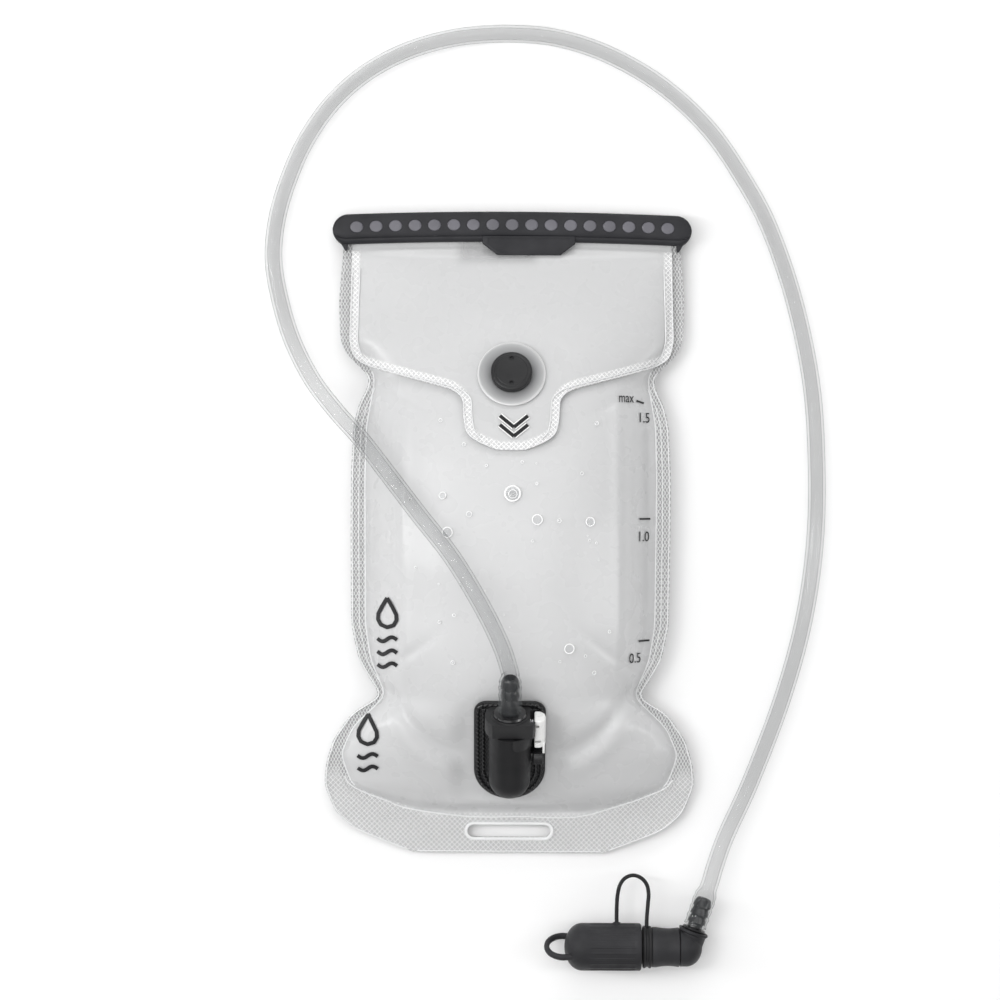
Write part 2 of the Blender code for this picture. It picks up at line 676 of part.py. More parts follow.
def port_housing():
    """Bullet-shaped socket: round nose, flat foot, bore for the plug, passage down to the water."""
    r = HOUSING_RADIUS
    nose = [(0.0, HOUSING_BACK)]
    for k in range(1, 7):
        a = math.pi / 2 * k / 6
        nose.append((r * math.sin(a), HOUSING_BACK + r * (1 - math.cos(a))))
    profile = nose + [(r, HOUSING_FRONT), (0, HOUSING_FRONT)]
    housing = add("port_housing", turned(profile, 24), matt_black(), port_axis())
    foot_back = HOUSING_BACK + 5 * MM
    half = 8.0 * MM
    foot = [(-half, foot_back), (half, foot_back), (half, HOUSING_FRONT), (-half, HOUSING_FRONT)]
    foot_shape = extruded(foot, HOUSING_FOOT, HOUSING_AXIS - 3 * MM)
    boolean(housing, add("housing_foot_shape", foot_shape, None, port_frame()), "UNION")
    boolean(housing, foot_cutter("housing_under_cutter"))
    bore = [(0, -19.0 * MM), (4.5 * MM, -19.0 * MM), (4.5 * MM, SEAT_Z), (2.6 * MM, SEAT_Z),
            (2.6 * MM, -3.0 * MM), (BORE_RADIUS, -0.5 * MM), (BORE_RADIUS, 30 * MM), (0, 30 * MM)]
    boolean(housing, add("housing_bore_cutter", turned(bore, 24), None, port_axis()))
    boolean(housing, passage_cutter("housing_passage_cutter", 4.0 * MM, HOUSING_AXIS))


def shut_off_valve():
    """Poppet and spring inside the housing: the plug's nose holds the poppet open against the spring."""
    top = SEAT_Z - POPPET_TRAVEL - GAP
    poppet = [(0, top - 1.8 * MM), (3.9 * MM, top - 1.8 * MM), (3.9 * MM, top), (1.5 * MM, top),
              (1.5 * MM, 2.2 * MM), (0, 2.2 * MM)]
    made = add("shutoff_poppet", turned(poppet, 16), white_plastic(), port_axis())
    arm = 4.4 * MM
    half = 0.8 * MM
    cross = [(half, arm), (-half, arm), (-half, half), (-arm, half), (-arm, -half), (-half, -half),
             (-half, -arm), (half, -arm), (half, -half), (arm, -half), (arm, half), (half, half)]
    cross_shape = extruded(cross, 1.2 * MM, 2.6 * MM)
    boolean(made, add("poppet_cross_shape", cross_shape, None, port_axis()), "UNION")
    place = port_axis() @ Matrix.Translation((0, 0, -18.6 * MM))
    add("poppet_spring", coil(3.2 * MM, 0.35 * MM, 7.2 * MM, 4), spring_steel(), place)


def head_outline():
    """Round at the left, square at the lower right, flat along the front: seen along the plug's axis."""
    r = HEAD_RADIUS
    a = math.degrees(math.asin(-HEAD_FLAT / r))
    points = [(r * 0.92, HEAD_FLAT), (r, HEAD_FLAT + 2.0 * MM)]
    points += arc(0, 0, r, 0, 180 + a, 22)
    return points


def plug():
    """Head, nose and seal of the plug, with the release button's seat at its right side."""
    block = extruded(head_outline(), HOUSING_FRONT + GAP, HEAD_FRONT)
    head = add("plug_head", block, black_plastic(), port_axis())
    r = PLUG_RADIUS
    nose = [(0, 3.0 * MM), (r - 1.0 * MM, 3.0 * MM), (r, 5.0 * MM), (r, 8.0 * MM), (4.9 * MM, 8.0 * MM),
            (4.9 * MM, 10.8 * MM), (r, 10.8 * MM), (r, 24 * MM), (0, 24 * MM)]
    boolean(head, add("plug_nose_shape", turned(nose, 24), None, port_axis()), "UNION")
    boolean(head, foot_cutter("head_under_cutter"))
    seat = [(10.6 * MM, -5.6 * MM), (30 * MM, -5.6 * MM), (30 * MM, 5.6 * MM), (10.6 * MM, 5.6 * MM)]
    boolean(head, add("button_seat_cutter", extruded(seat, 0, 50 * MM), None, port_axis()))
    well = Matrix.Translation((0, 0, SPRING_WELL_Z)) @ Matrix.Rotation(math.pi / 2, 4, "Y")
    spring_well = turned([(0, 8.0 * MM), (2.2 * MM, 8.0 * MM), (2.2 * MM, 20 * MM), (0, 20 * MM)], 12)
    boolean(head, add("spring_well_cutter", spring_well, None, port_axis() @ well))
    water = turned([(0, 0), (3.0 * MM, 0), (3.0 * MM, 60 * MM), (0, 60 * MM)], 16)
    boolean(head, add("plug_water_cutter", water, None, port_axis()))
    low, high = HEAD_FRONT - 3 * MM, HEAD_FRONT + 4 * MM
    recess = turned([(0, low), (5.2 * MM, low), (5.2 * MM, high), (0, high)], 24)
    boolean(head, add("barb_recess_cutter", recess, None, port_axis()))
    seal = torus(5.55 * MM, 0.52 * MM, 18, 6)
    add("plug_seal", seal, seal_rubber(), port_axis() @ Matrix.Translation((0, 0, 9.4 * MM)))
    add("release_spring", coil(1.6 * MM, 0.25 * MM, 4.4 * MM, 4), spring_steel(),
        port_axis() @ well @ Matrix.Translation((0, 0, 8.2 * MM)))


def release_button():
    """White C-shaped button on the plug's right side, with two finger slots."""
    outline = [(12.9 * MM, -5.2 * MM), (16.0 * MM, -5.2 * MM), (18.3 * MM, -3.2 * MM), (18.9 * MM, 0.0),
               (18.3 * MM, 3.2 * MM), (16.0 * MM, 5.2 * MM), (12.9 * MM, 5.2 * MM)]
    shape = extruded(outline, 9.0 * MM, HEAD_FRONT - 0.6 * MM)
    button = add("release_button", shape, white_plastic(), port_axis())
    slots = bmesh.new()
    for z in (14.0 * MM, 25.5 * MM):
        bmesh.ops.create_cube(slots, size=1.0, matrix=Matrix.Translation((15.2 * MM, -4.6 * MM, z))
                              @ Matrix.Diagonal((3.4 * MM, 2.4 * MM, 1.6 * MM, 1.0)))
    boolean(button, add("button_slot_cutter", slots, None, port_axis()))


def barb_profile(start, tip, bore):
    """Hose tail from its root: a row of rising teeth, then back to the through bore."""
    root = BARB_ROOT_RADIUS
    points = [(root, start)]
    pitch = (tip - start) * 0.82 / BARB_TEETH
    z = start + (tip - start) * 0.12
    for _ in range(BARB_TEETH):
        points += [(root, z), (BARB_TOOTH_RADIUS, z + 0.15 * pitch), (root + 0.2 * MM, z + 0.95 * pitch)]
        z += pitch
    points += [(root - 0.3 * MM, tip), (bore, tip)]
    return points


def hose_barb():
    """Swivelling hose tail held in the plug's head."""
    base = HEAD_FRONT - 2.7 * MM
    front = HEAD_FRONT
    bore = 2.9 * MM
    profile = [(bore, base), (4.9 * MM, base), (4.9 * MM, front + GAP), (8.9 * MM, front + GAP),
               (8.7 * MM, front + 2.0 * MM), (6.0 * MM, front + 3.0 * MM)]
    tail = barb_profile(front + 3.0 * MM, BARB_TIP, bore)
    add("hose_barb", turned(profile + tail, 18), gloss_black(), port_axis())


# ---- hose ------------------------------------------------------------------------------------------------
def catmull(points, count):
    """Even points on a smooth curve through the route's own points, with a short straight at each end."""
    fine = []
    ends = [points[0] * 2 - points[1]] + points + [points[-1] * 2 - points[-2]]
    for a, b, c, d in zip(ends, ends[1:], ends[2:], ends[3:]):
        for k in range(24):
            t = k / 24
            fine.append(0.5 * (2 * b + (c - a) * t + (2 * a - 5 * b + 4 * c - d) * t**2
                               + (3 * b - a - 3 * c + d) * t**3))
    fine.append(points[-1])
    reach = [0.0]
    for p, q in zip(fine, fine[1:]):
        reach.append(reach[-1] + (q - p).length)
    straight = 3.5 * MM
    inner = reach[-1] - 2 * straight
    stations = [0.0] + [straight + inner * n / (count - 3) for n in range(count - 2)] + [reach[-1]]
    made = []
    k = 0
    for s in stations:
        while k < len(reach) - 2 and reach[k + 1] < s:
            k += 1
        t = (s - reach[k]) / (reach[k + 1] - reach[k])
        made.append(fine[k].lerp(fine[k + 1], min(max(t, 0.0), 1.0)))
    return made, reach[-1]


def valve_barb_frame():
    """Local Z leaves the elbow towards the hose, in the horizontal plane."""
    origin = Vector((VALVE_BARB_X, VALVE_Y, VALVE_Z))
    return along((math.sin(VALVE_BARB_LEAN), math.cos(VALVE_BARB_LEAN), 0.0), origin)


def hose_route():
    start = port_axis()
    end = valve_barb_frame()
    points = [start @ Vector((0, 0, BARB_TIP + 1.5 * GAP)), start @ Vector((0, 0, BARB_TIP + 9 * MM))]
    points += [Vector(p) * MM for p in ROUTE]
    tip = VALVE_BARB_TIP
    points += [end @ Vector((0, 0, tip + 10 * MM)), end @ Vector((0, 0, tip + GAP))]
    return catmull(points, HOSE_POINTS)


def drink_hose():
    points, length = hose_route()
    curve = bpy.data.curves.new("drink_hose", "CURVE")
    curve.dimensions = "3D"
    spline = curve.splines.new("POLY")
    spline.points.add(len(points) - 1)
    for slot, p in zip(spline.points, points):
        slot.co = (*p, 1.0)
    curve.bevel_depth = HOSE_RADIUS
    curve.bevel_resolution = 2
    curve.use_fill_caps = True
    curve.materials.append(hose_clear())
    made = bpy.data.objects.new("drink_hose", curve)
    bpy.context.scene.collection.objects.link(made)
    print(f"hose length {length:.4f} m")


# ---- bite valve ------------------------------------------------------------------------------------------
def valve_axis():
    """Local Z runs to the right along the bite valve, from x = 0."""
    return along((1, 0, 0), Vector((0, VALVE_Y, VALVE_Z)))


def elbow():
    r = BODY_RADIUS - 0.4 * MM
    left = BODY_RIGHT_X + GAP
    right = ELBOW_RIGHT_X
    profile = [(0, left), (r, left)]
    for k in range(1, 7):
        a = math.pi / 2 * k / 6
        profile.append((r * math.cos(a), right - r * 0.85 + r * 0.85 * math.sin(a)))
    profile[-1] = (0, right)
    made = add("valve_elbow", turned(profile, 22), matt_black(), valve_axis())
    neck = turned([(0, 0), (7.6 * MM, 0), (7.6 * MM, 8.4 * MM), (7.2 * MM, 9.6 * MM), (0, 9.6 * MM)], 24)
    boolean(made, add("elbow_neck_shape", neck, None, valve_barb_frame()), "UNION")
    side = turned([(0, left - 30 * MM), (30 * MM, left - 30 * MM), (30 * MM, left), (0, left)], 24)
    boolean(made, add("elbow_end_cutter", side, None, valve_axis()))
    spigot = turned([(0, left - 9 * MM), (5.0 * MM, left - 9 * MM), (5.0 * MM, left - 6.0 * MM),
                     (4.1 * MM, left - 6.0 * MM), (4.1 * MM, left - 3.8 * MM), (5.0 * MM, left - 3.8 * MM),
                     (5.0 * MM, left + 3 * MM), (0, left + 3 * MM)], 24)
    boolean(made, add("elbow_spigot_shape", spigot, None, valve_axis()), "UNION")
    end = ELBOW_RIGHT_X - 5 * MM
    water = turned([(0, left - 20 * MM), (2.8 * MM, left - 20 * MM), (2.8 * MM, end), (0, end)], 16)
    boolean(made, add("elbow_water_cutter", water, None, valve_axis()))
    socket = turned([(0, 0), (2.8 * MM, 0), (2.8 * MM, 5 * MM), (4.9 * MM, 5 * MM), (4.9 * MM, 20 * MM),
                     (0, 20 * MM)], 24)
    boolean(made, add("elbow_socket_cutter", socket, None, valve_barb_frame()))
    seal = torus(4.78 * MM, 0.5 * MM, 18, 6)
    add("valve_seal", seal, seal_rubber(), valve_axis() @ Matrix.Translation((0, 0, left - 4.9 * MM)))


def valve_barb():
    m = MM
    bore = 2.4 * m
    profile = [(bore, 5.3 * m), (4.6 * m, 5.3 * m), (4.6 * m, 9.9 * m), (6.4 * m, 9.9 * m),
               (6.0 * m, 11.2 * m)]
    tail = barb_profile(11.6 * m, VALVE_BARB_TIP, bore)
    add("valve_barb", turned(profile + tail, 18), gloss_black(), valve_barb_frame())


def valve_body():
    """Waisted twist body, hollow, with a groove for the tether and a spout for the mouthpiece."""
    m = MM
    r = BODY_RADIUS
    left = CAP_RIGHT_X
    groove = COLLAR_RIGHT_X
    profile = [
        (5.6 * m, BODY_RIGHT_X), (r, BODY_RIGHT_X), (r - 0.3 * m, BODY_RIGHT_X - 7 * m),
        (r, groove + 3.0 * m), (r, groove + 0.2 * m), (r - 1.2 * m, groove + 0.2 * m),
        (r - 1.2 * m, left + 0.4 * m), (6.6 * m, left + 0.4 * m), (6.6 * m, left - 3.0 * m),
        (7.2 * m, left - 4.2 * m), (6.2 * m, left - 6.0 * m), (6.2 * m, left - 9.0 * m),
        (3.2 * m, left - 9.0 * m), (3.2 * m, left + 6.0 * m), (5.6 * m, left + 9.5 * m),
    ]
    add("valve_body", turned(profile, 22), matt_black(), valve_axis())


def mouthpiece():
    """Soft silicone mouthpiece on the spout, open through a slot at its tip."""
    m = MM
    left = CAP_RIGHT_X
    profile = [
        (8.4 * m, left), (8.8 * m, left - 3.0 * m), (8.2 * m, left - 9.0 * m), (7.0 * m, left - 18 * m),
        (6.4 * m, left - 27 * m), (4.6 * m, left - 30 * m), (1.2 * m, left - 30 * m),
        (1.2 * m, left - 28.2 * m), (4.2 * m, left - 27.4 * m), (4.9 * m, left - 18 * m),
        (6.5 * m, left - 9.4 * m), (6.5 * m, left - 6.2 * m),
        (7.5 * m, left - 4.4 * m), (6.9 * m, left - 2.8 * m), (6.9 * m, left),
    ]
    add("bite_mouthpiece", turned(profile, 18), silicone(), valve_axis())


def dust_cap():
    """Ribbed dome with a D-shaped pull ring across its end."""
    m = MM
    r = CAP_RADIUS
    left = CAP_LEFT_X
    right = CAP_RIGHT_X
    inner = r - 1.8 * m
    profile = [(0, left)]
    for k in range(1, 7):
        a = math.pi / 2 * k / 6
        profile.append((r * math.sin(a), left + 9.5 * m * (1 - math.cos(a))))
    profile += [(r, right - 0.8 * m), (r - 0.6 * m, right), (inner, right), (inner, left + 8.5 * m),
                (inner - 4 * m, left + 3.5 * m), (0, left + 2.2 * m)]
    cap = add("dust_cap", turned(profile, 24), matt_black(), valve_axis())
    tilt = Matrix.Rotation(-CAP_RING_TILT, 4, "X")
    centre = Matrix.Translation((left - 0.5 * m, VALVE_Y, VALVE_Z))
    ring = bmesh.new()
    outer = arc(0, 0, 10.5 * m, 75, 285, 12) + [(9.0 * m, -9.4 * m), (9.0 * m, 9.4 * m)]
    hole = arc(0, 0, 7.9 * m, 75, 285, 12) + [(1.6 * m, -7.2 * m), (1.6 * m, 7.2 * m)]
    for z in (-1.3 * m, 1.3 * m):
        for points in (outer, hole):
            for x, y in points:
                ring.verts.new((x, y, z))
    ring.verts.ensure_lookup_table()
    n = len(outer)
    for k in range(n):
        j = (k + 1) % n
        v = ring.verts
        ring.faces.new((v[k], v[j], v[n + j], v[n + k]))
        ring.faces.new((v[2 * n + k], v[3 * n + k], v[3 * n + j], v[2 * n + j]))
        ring.faces.new((v[k], v[2 * n + k], v[2 * n + j], v[j]))
        ring.faces.new((v[n + k], v[n + j], v[3 * n + j], v[3 * n + k]))
    boolean(cap, add("cap_ring_shape", ring, None, centre @ tilt), "UNION")
    room = turned([(0, left + 3.6 * m), (inner - 4 * m, left + 3.6 * m), (inner, left + 8.5 * m),
                   (inner, right + 5 * m), (0, right + 5 * m)], 24)
    boolean(cap, add("cap_room_cutter", room, None, valve_axis()))


def tether():
    """Collar in the body's groove, and the strap that arches over to the cap."""
    m = MM
    r = BODY_RADIUS - 1.2 * m + GAP
    left = CAP_RIGHT_X + 0.9 * m
    right = COLLAR_RIGHT_X - 0.1 * m
    out = BODY_RADIUS + 0.7 * m
    collar = [(r, left), (out - 0.4 * m, left), (out, left + 0.6 * m), (out - 0.7 * m, (left + right) / 2),
              (out, right - 0.6 * m), (out - 0.4 * m, right), (r, right)]
    made = add("cap_tether", turned(collar, 22), silicone(), valve_axis())
    strap = swept([(x * m, VALVE_Y + y * m, VALVE_Z) for x, y in STRAP], STRAP_RADIUS, 6)
    boolean(made, add("tether_strap_shape", strap, None), "UNION")


# ---- joints ----------------------------------------------------------------------------------------------
def pivot(name, place, pieces):
    """An empty on a joint's axis that carries the pieces turning or sliding on it."""
    empty = bpy.data.objects.new(name, None)
    bpy.context.scene.collection.objects.link(empty)
    empty.matrix_world = place
    for piece in pieces:
        made = bpy.data.objects[piece]
        made.parent = empty
        made.matrix_parent_inverse = place.inverted()


def pivots():
    magnets = [f"front_magnet_{number:02d}" for number, _, _ in magnet_places()]
    mouth = ["neck_film", "front_rail"] + magnets
    pivot("mouth_hinge_axis", Matrix.Translation(MOUTH_HINGE), mouth)
    pivot("flap_hinge_axis", Matrix.Translation(FLAP_HINGE), ["flap_film"])
    plug_end = Matrix.Translation(port_axis().translation)
    pivot("hose_release_axis", plug_end, ["drink_hose", "valve_barb", "valve_elbow", "valve_seal"])


def clear_scene():
    for old in list(bpy.data.objects):
        bpy.data.objects.remove(old, do_unlink=True)


def main():
    clear_scene()
    reservoir()
    flap()
    rails_and_magnets()
    snap()
    port_plate()
    port_housing()
    shut_off_valve()
    plug()
    release_button()
    hose_barb()
    drink_hose()
    elbow()
    valve_barb()
    valve_body()
    mouthpiece()
    dust_cap()
    tether()
    pivots()


main()
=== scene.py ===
import math

import bmesh
import bpy
import numpy as np
from mathutils import Matrix, Vector


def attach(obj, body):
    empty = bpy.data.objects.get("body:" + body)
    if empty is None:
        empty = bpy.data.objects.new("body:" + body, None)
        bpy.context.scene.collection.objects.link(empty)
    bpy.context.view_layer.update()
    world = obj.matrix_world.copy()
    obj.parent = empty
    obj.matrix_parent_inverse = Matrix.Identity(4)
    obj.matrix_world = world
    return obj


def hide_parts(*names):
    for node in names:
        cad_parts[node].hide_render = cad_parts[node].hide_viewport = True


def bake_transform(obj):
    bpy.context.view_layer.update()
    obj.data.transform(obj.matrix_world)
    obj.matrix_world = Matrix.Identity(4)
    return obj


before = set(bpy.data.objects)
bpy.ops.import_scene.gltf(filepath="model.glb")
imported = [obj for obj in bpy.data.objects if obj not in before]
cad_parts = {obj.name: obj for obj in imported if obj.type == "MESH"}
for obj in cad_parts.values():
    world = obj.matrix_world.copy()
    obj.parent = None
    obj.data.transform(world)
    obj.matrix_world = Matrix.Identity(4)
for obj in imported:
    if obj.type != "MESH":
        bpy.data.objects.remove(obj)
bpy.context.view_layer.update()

MM = 0.001
rng = np.random.default_rng(7)

# ---- sizes shared with the frame, in millimetres where a table says so ------------------------------------
FILM = 0.7 * MM
FRAME_FILM = 0.8 * MM
WELD_HALF_GAP = 0.15 * MM
BOTTOM_Y = -173.5 * MM
CHAMBER_END_Y = -151.6 * MM
OUTLINE = (
    (-173.5, 51.6), (-161.3, 83.4), (-152.0, 94.0), (-137.0, 100.0), (-125.0, 99.0), (-112.0, 95.0),
    (-97.6, 85.0), (-91.0, 73.0), (-87.5, 69.8), (-80.0, 75.0), (-69.0, 81.5), (-50.0, 85.5),
    (0.0, 86.1), (30.0, 86.1), (57.0, 85.0), (68.0, 82.4), (76.8, 78.0), (83.3, 76.5), (89.0, 82.0),
    (95.0, 88.5), (103.0, 92.5), (125.0, 93.4), (157.0, 90.7), (170.0, 90.0),
)
CHAMBER = (
    (-151.6, 46.0), (-150.0, 51.6), (-138.0, 84.2), (-120.0, 90.5), (-105.0, 84.0), (-91.0, 69.0),
    (-87.5, 66.5), (-69.0, 74.5), (-50.0, 77.5), (30.0, 78.1), (57.0, 77.5), (83.3, 73.0),
    (103.0, 84.5), (125.0, 85.6), (157.0, 83.5), (170.0, 83.0),
)
CREST = (
    (-151.6, 6.3), (-147.0, 13.5), (-140.0, 19.5), (-120.0, 31.5), (-100.0, 42.5), (-85.0, 47.5),
    (-60.0, 51.0), (-20.0, 52.5), (10.0, 51.5), (40.0, 47.5), (60.0, 42.5), (84.0, 34.5), (100.0, 27.5),
    (120.0, 19.5), (140.0, 13.3), (150.0, 9.6), (156.0, 7.9), (170.0, 7.7),
)
WELD_PLANE = (
    (-173.5, 4.0), (-151.6, 5.5), (-120.0, 10.0), (-87.5, 13.0), (30.0, 14.0), (83.3, 10.0), (125.0, 7.6),
    (170.0, 7.4),
)
BACK_LINE = (
    (-173.5, 3.0), (-151.6, 2.6), (-138.0, 0.0), (80.0, 0.0), (110.0, 2.0), (150.0, 6.2), (157.0, 6.6),
    (170.0, 6.6),
)
FLAP_OUTLINE = (
    (43.9, 7.0), (45.2, 11.0), (48.9, 19.7), (52.8, 24.0), (60.5, 25.4), (71.0, 25.8), (76.6, 31.3),
    (81.4, 50.5), (86.5, 68.0), (90.0, 80.0), (94.5, 85.6), (103.0, 87.6), (146.5, 86.5), (158.0, 86.0),
)
HANG_SLOT_Y = -161.8 * MM
HANG_SLOT_LENGTH = 44.7 * MM
HANG_SLOT_RADIUS = 3.25 * MM
FLAP_LOW_Y = 43.9 * MM
SNAP_Y = 83.2 * MM
SNAP_SEAT_Z = 33.4 * MM
SNAP_SLOPE = math.radians(19.5)
PORT_Y = -116.0 * MM
PORT_Z = 31.4 * MM
PORT_SLOPE = math.radians(28.5)
HOUSING_AXIS = 11.4 * MM
HEAD_FRONT = 29.5 * MM
BARB_TIP = 53.0 * MM
HOSE_RADIUS = 4.75 * MM
VALVE_Y = -223.1 * MM
VALVE_Z = 12.9 * MM
VALVE_BARB_LEAN = math.radians(19.0)
VALVE_BARB_X = 96.5 * MM
RAIL_HALF_LENGTH = 96.8 * MM
RAIL_HEIGHT = 16.2 * MM
RAIL_END_Y = 162.6 * MM
RAIL_BOW = 2.2 * MM
RAIL_MIDDLE_Z = 7.4 * MM
MAGNET_COUNT = 17
MAGNET_PITCH = 10.47 * MM
ROUTE = (
    (-4.8, -58.0, 70.5), (-15.0, -37.5, 71.0), (-30.5, -12.5, 66.0), (-48.5, 10.0, 57.0),
    (-65.5, 31.5, 45.0), (-80.0, 49.5, 32.5), (-94.0, 64.7, 21.5), (-107.5, 82.0, 12.5),
    (-118.5, 103.0, 7.2), (-125.5, 125.0, 4.9), (-129.2, 147.0, 4.9), (-127.5, 168.6, 4.9),
    (-121.5, 190.0, 4.9), (-111.8, 212.0, 4.9), (-97.0, 233.0, 4.9), (-78.0, 249.5, 4.9),
    (-54.5, 261.5, 4.9), (-27.0, 268.5, 4.9), (2.0, 270.0, 4.9), (28.0, 267.0, 4.9), (55.0, 257.5, 4.9),
    (82.5, 241.0, 4.9), (107.0, 218.0, 4.9), (126.2, 190.2, 4.9), (140.0, 164.0, 4.9),
    (153.2, 125.5, 4.9), (162.4, 82.2, 4.9), (165.6, 39.0, 4.9), (165.0, -4.2, 4.9), (159.0, -47.5, 4.9),
    (147.5, -90.0, 4.9), (131.0, -133.8, 5.4), (117.3, -163.5, 8.0), (111.2, -180.0, 10.4),
)
CAMERA_HEIGHT = 1.5
VIEW_CENTRE = (-5.8 * MM, 17.4 * MM)
MM_PER_FRAME = 540.0


# ---- camera, floor and light -------------------------------------------------------------------------------
def camera():
    data = bpy.data.cameras.new("camera")
    data.sensor_width = 36.0
    data.lens = 36.0 * (CAMERA_HEIGHT - 10 * MM) / (MM_PER_FRAME * MM)
    made = bpy.data.objects.new("camera", data)
    bpy.context.scene.collection.objects.link(made)
    made.location = (*VIEW_CENTRE, CAMERA_HEIGHT)
    made.rotation_euler = (0, 0, math.radians(0.3))
    bpy.context.scene.camera = made


# name, place, size and power of each soft panel, all aimed at the middle of the table
LIGHTS = (
    ("soft_top", (-0.35, 0.15, 1.8), (2.2, 1.6), 14.0),
    ("far_light", (0.1, 1.6, 0.9), (1.4, 0.4), 8.5),
    ("low_light", (0.0, -1.3, 0.9), (1.2, 0.3), 1.6),
    ("left_strip", (-1.1, 0.1, 0.9), (0.10, 1.5), 8.5),
    ("right_strip", (1.1, -0.1, 0.8), (0.10, 1.5), 4.0),
    ("near_strip", (-0.35, 0.2, 1.3), (0.03, 1.2), 1.6),
)


def area_light(name, place, size, power):
    data = bpy.data.lights.new(name, "AREA")
    data.shape = "RECTANGLE"
    data.size = size[0]
    data.size_y = size[1]
    data.energy = power
    made = bpy.data.objects.new(name, data)
    bpy.context.scene.collection.objects.link(made)
    made.location = place
    made.rotation_euler = (-Vector(place)).to_track_quat("-Z", "Y").to_euler()


def studio():
    bpy.context.scene.view_settings.view_transform = "Standard"
    world = bpy.data.worlds.new("studio")
    bpy.context.scene.world = world
    world.use_nodes = True
    background = world.node_tree.nodes["Background"]
    background.inputs["Color"].default_value = (1.0, 1.0, 1.0, 1.0)
    background.inputs["Strength"].default_value = 0.34
    for light in LIGHTS:
        area_light(*light)
    bm = bmesh.new()
    bmesh.ops.create_grid(bm, x_segments=2, y_segments=2, size=6.0,
                          matrix=Matrix.Translation((0, 0, -0.4 * MM)))
    mesh = bpy.data.meshes.new("floor")
    bm.to_mesh(mesh)
    floor = bpy.data.objects.new("floor", mesh)
    bpy.context.scene.collection.objects.link(floor)
    look = bpy.data.materials.new("floor")
    look.use_nodes = True
    shader = look.node_tree.nodes["Principled BSDF"]
    shader.inputs["Base Color"].default_value = (0.93, 0.93, 0.93, 1)
    shader.inputs["Roughness"].default_value = 0.9
    shader.inputs["Specular IOR Level"].default_value = 0.1
    mesh.materials.append(look)


# ---- materials ---------------------------------------------------------------------------------------------
class Look:
    """A procedural material: short helpers around one Principled shader."""

    def __init__(self, name, color, roughness, **sockets):
        self.made = bpy.data.materials.new(name)
        self.made.use_nodes = True
        self.tree = self.made.node_tree
        self.shader = self.tree.nodes["Principled BSDF"]
        self.shader.inputs["Base Color"].default_value = (*color, 1.0)
        self.shader.inputs["Roughness"].default_value = roughness
        for socket, value in sockets.items():
            self.shader.inputs[socket.replace("_", " ")].default_value = value
        self.place = self.tree.nodes.new("ShaderNodeTexCoord").outputs["Object"]
        self.normal = None

    def node(self, kind, **values):
        made = self.tree.nodes.new("ShaderNode" + kind)
        for key, value in values.items():
            setattr(made, key, value)
        return made

    def link(self, a, b):
        self.tree.links.new(a, b)

    def math(self, operation, a, b=None, c=None):
        made = self.node("Math", operation=operation)
        for socket, value in zip(made.inputs, (a, b, c)):
            if value is None:
                continue
            if isinstance(value, (int, float)):
                socket.default_value = value
            else:
                self.link(value, socket)
        return made.outputs[0]

    def noise(self, scale, detail=3.0, rough=0.5, vector=None, stretch=None):
        made = self.node("TexNoise")
        made.inputs["Scale"].default_value = scale
        made.inputs["Detail"].default_value = detail
        made.inputs["Roughness"].default_value = rough
        source = vector or self.place
        if stretch:
            mapping = self.node("Mapping")
            mapping.inputs["Scale"].default_value = stretch
            self.link(source, mapping.inputs["Vector"])
            source = mapping.outputs["Vector"]
        self.link(source, made.inputs["Vector"])
        return made.outputs["Fac"]

    def ramp(self, value, low, high, start=0.0, end=1.0):
        made = self.node("MapRange")
        made.inputs["From Min"].default_value = start
        made.inputs["From Max"].default_value = end
        made.inputs["To Min"].default_value = low
        made.inputs["To Max"].default_value = high
        self.link(value, made.inputs["Value"])
        return made.outputs["Result"]

    def colors(self, value, first, second):
        made = self.node("MixRGB")
        if isinstance(value, (int, float)):
            made.inputs["Fac"].default_value = value
        else:
            self.link(value, made.inputs["Fac"])
        for socket, color in ((made.inputs["Color1"], first), (made.inputs["Color2"], second)):
            if isinstance(color, tuple):
                socket.default_value = (*color, 1.0)
            else:
                self.link(color, socket)
        return made.outputs["Color"]

    def set(self, socket, value):
        self.link(value, self.shader.inputs[socket])

    def bump(self, height, distance, strength=1.0):
        made = self.node("Bump")
        made.inputs["Strength"].default_value = strength
        made.inputs["Distance"].default_value = distance
        self.link(height, made.inputs["Height"])
        if self.normal:
            self.link(self.normal, made.inputs["Normal"])
        self.normal = made.outputs["Normal"]
        self.set("Normal", self.normal)

    def attribute(self, name):
        made = self.node("Attribute", attribute_name=name)
        return made.outputs["Fac"]

    def lattice(self, pitch, width, tall=1.0):
        """1 on the lines of a diamond net, 0 in its cells; tall diamonds are longer along Y."""
        split = self.node("SeparateXYZ")
        self.link(self.place, split.inputs["Vector"])
        x, y = split.outputs["X"], self.math("DIVIDE", split.outputs["Y"], tall)
        lines = []
        for operation in ("ADD", "SUBTRACT"):
            along = self.math("DIVIDE", self.math(operation, x, y), pitch)
            part = self.math("ABSOLUTE", self.math("SUBTRACT", self.math("FRACT", along), 0.5))
            lines.append(self.ramp(part, 0.0, 1.0, 0.5 - width, 0.5 - 0.3 * width))
        return self.math("MAXIMUM", *lines)


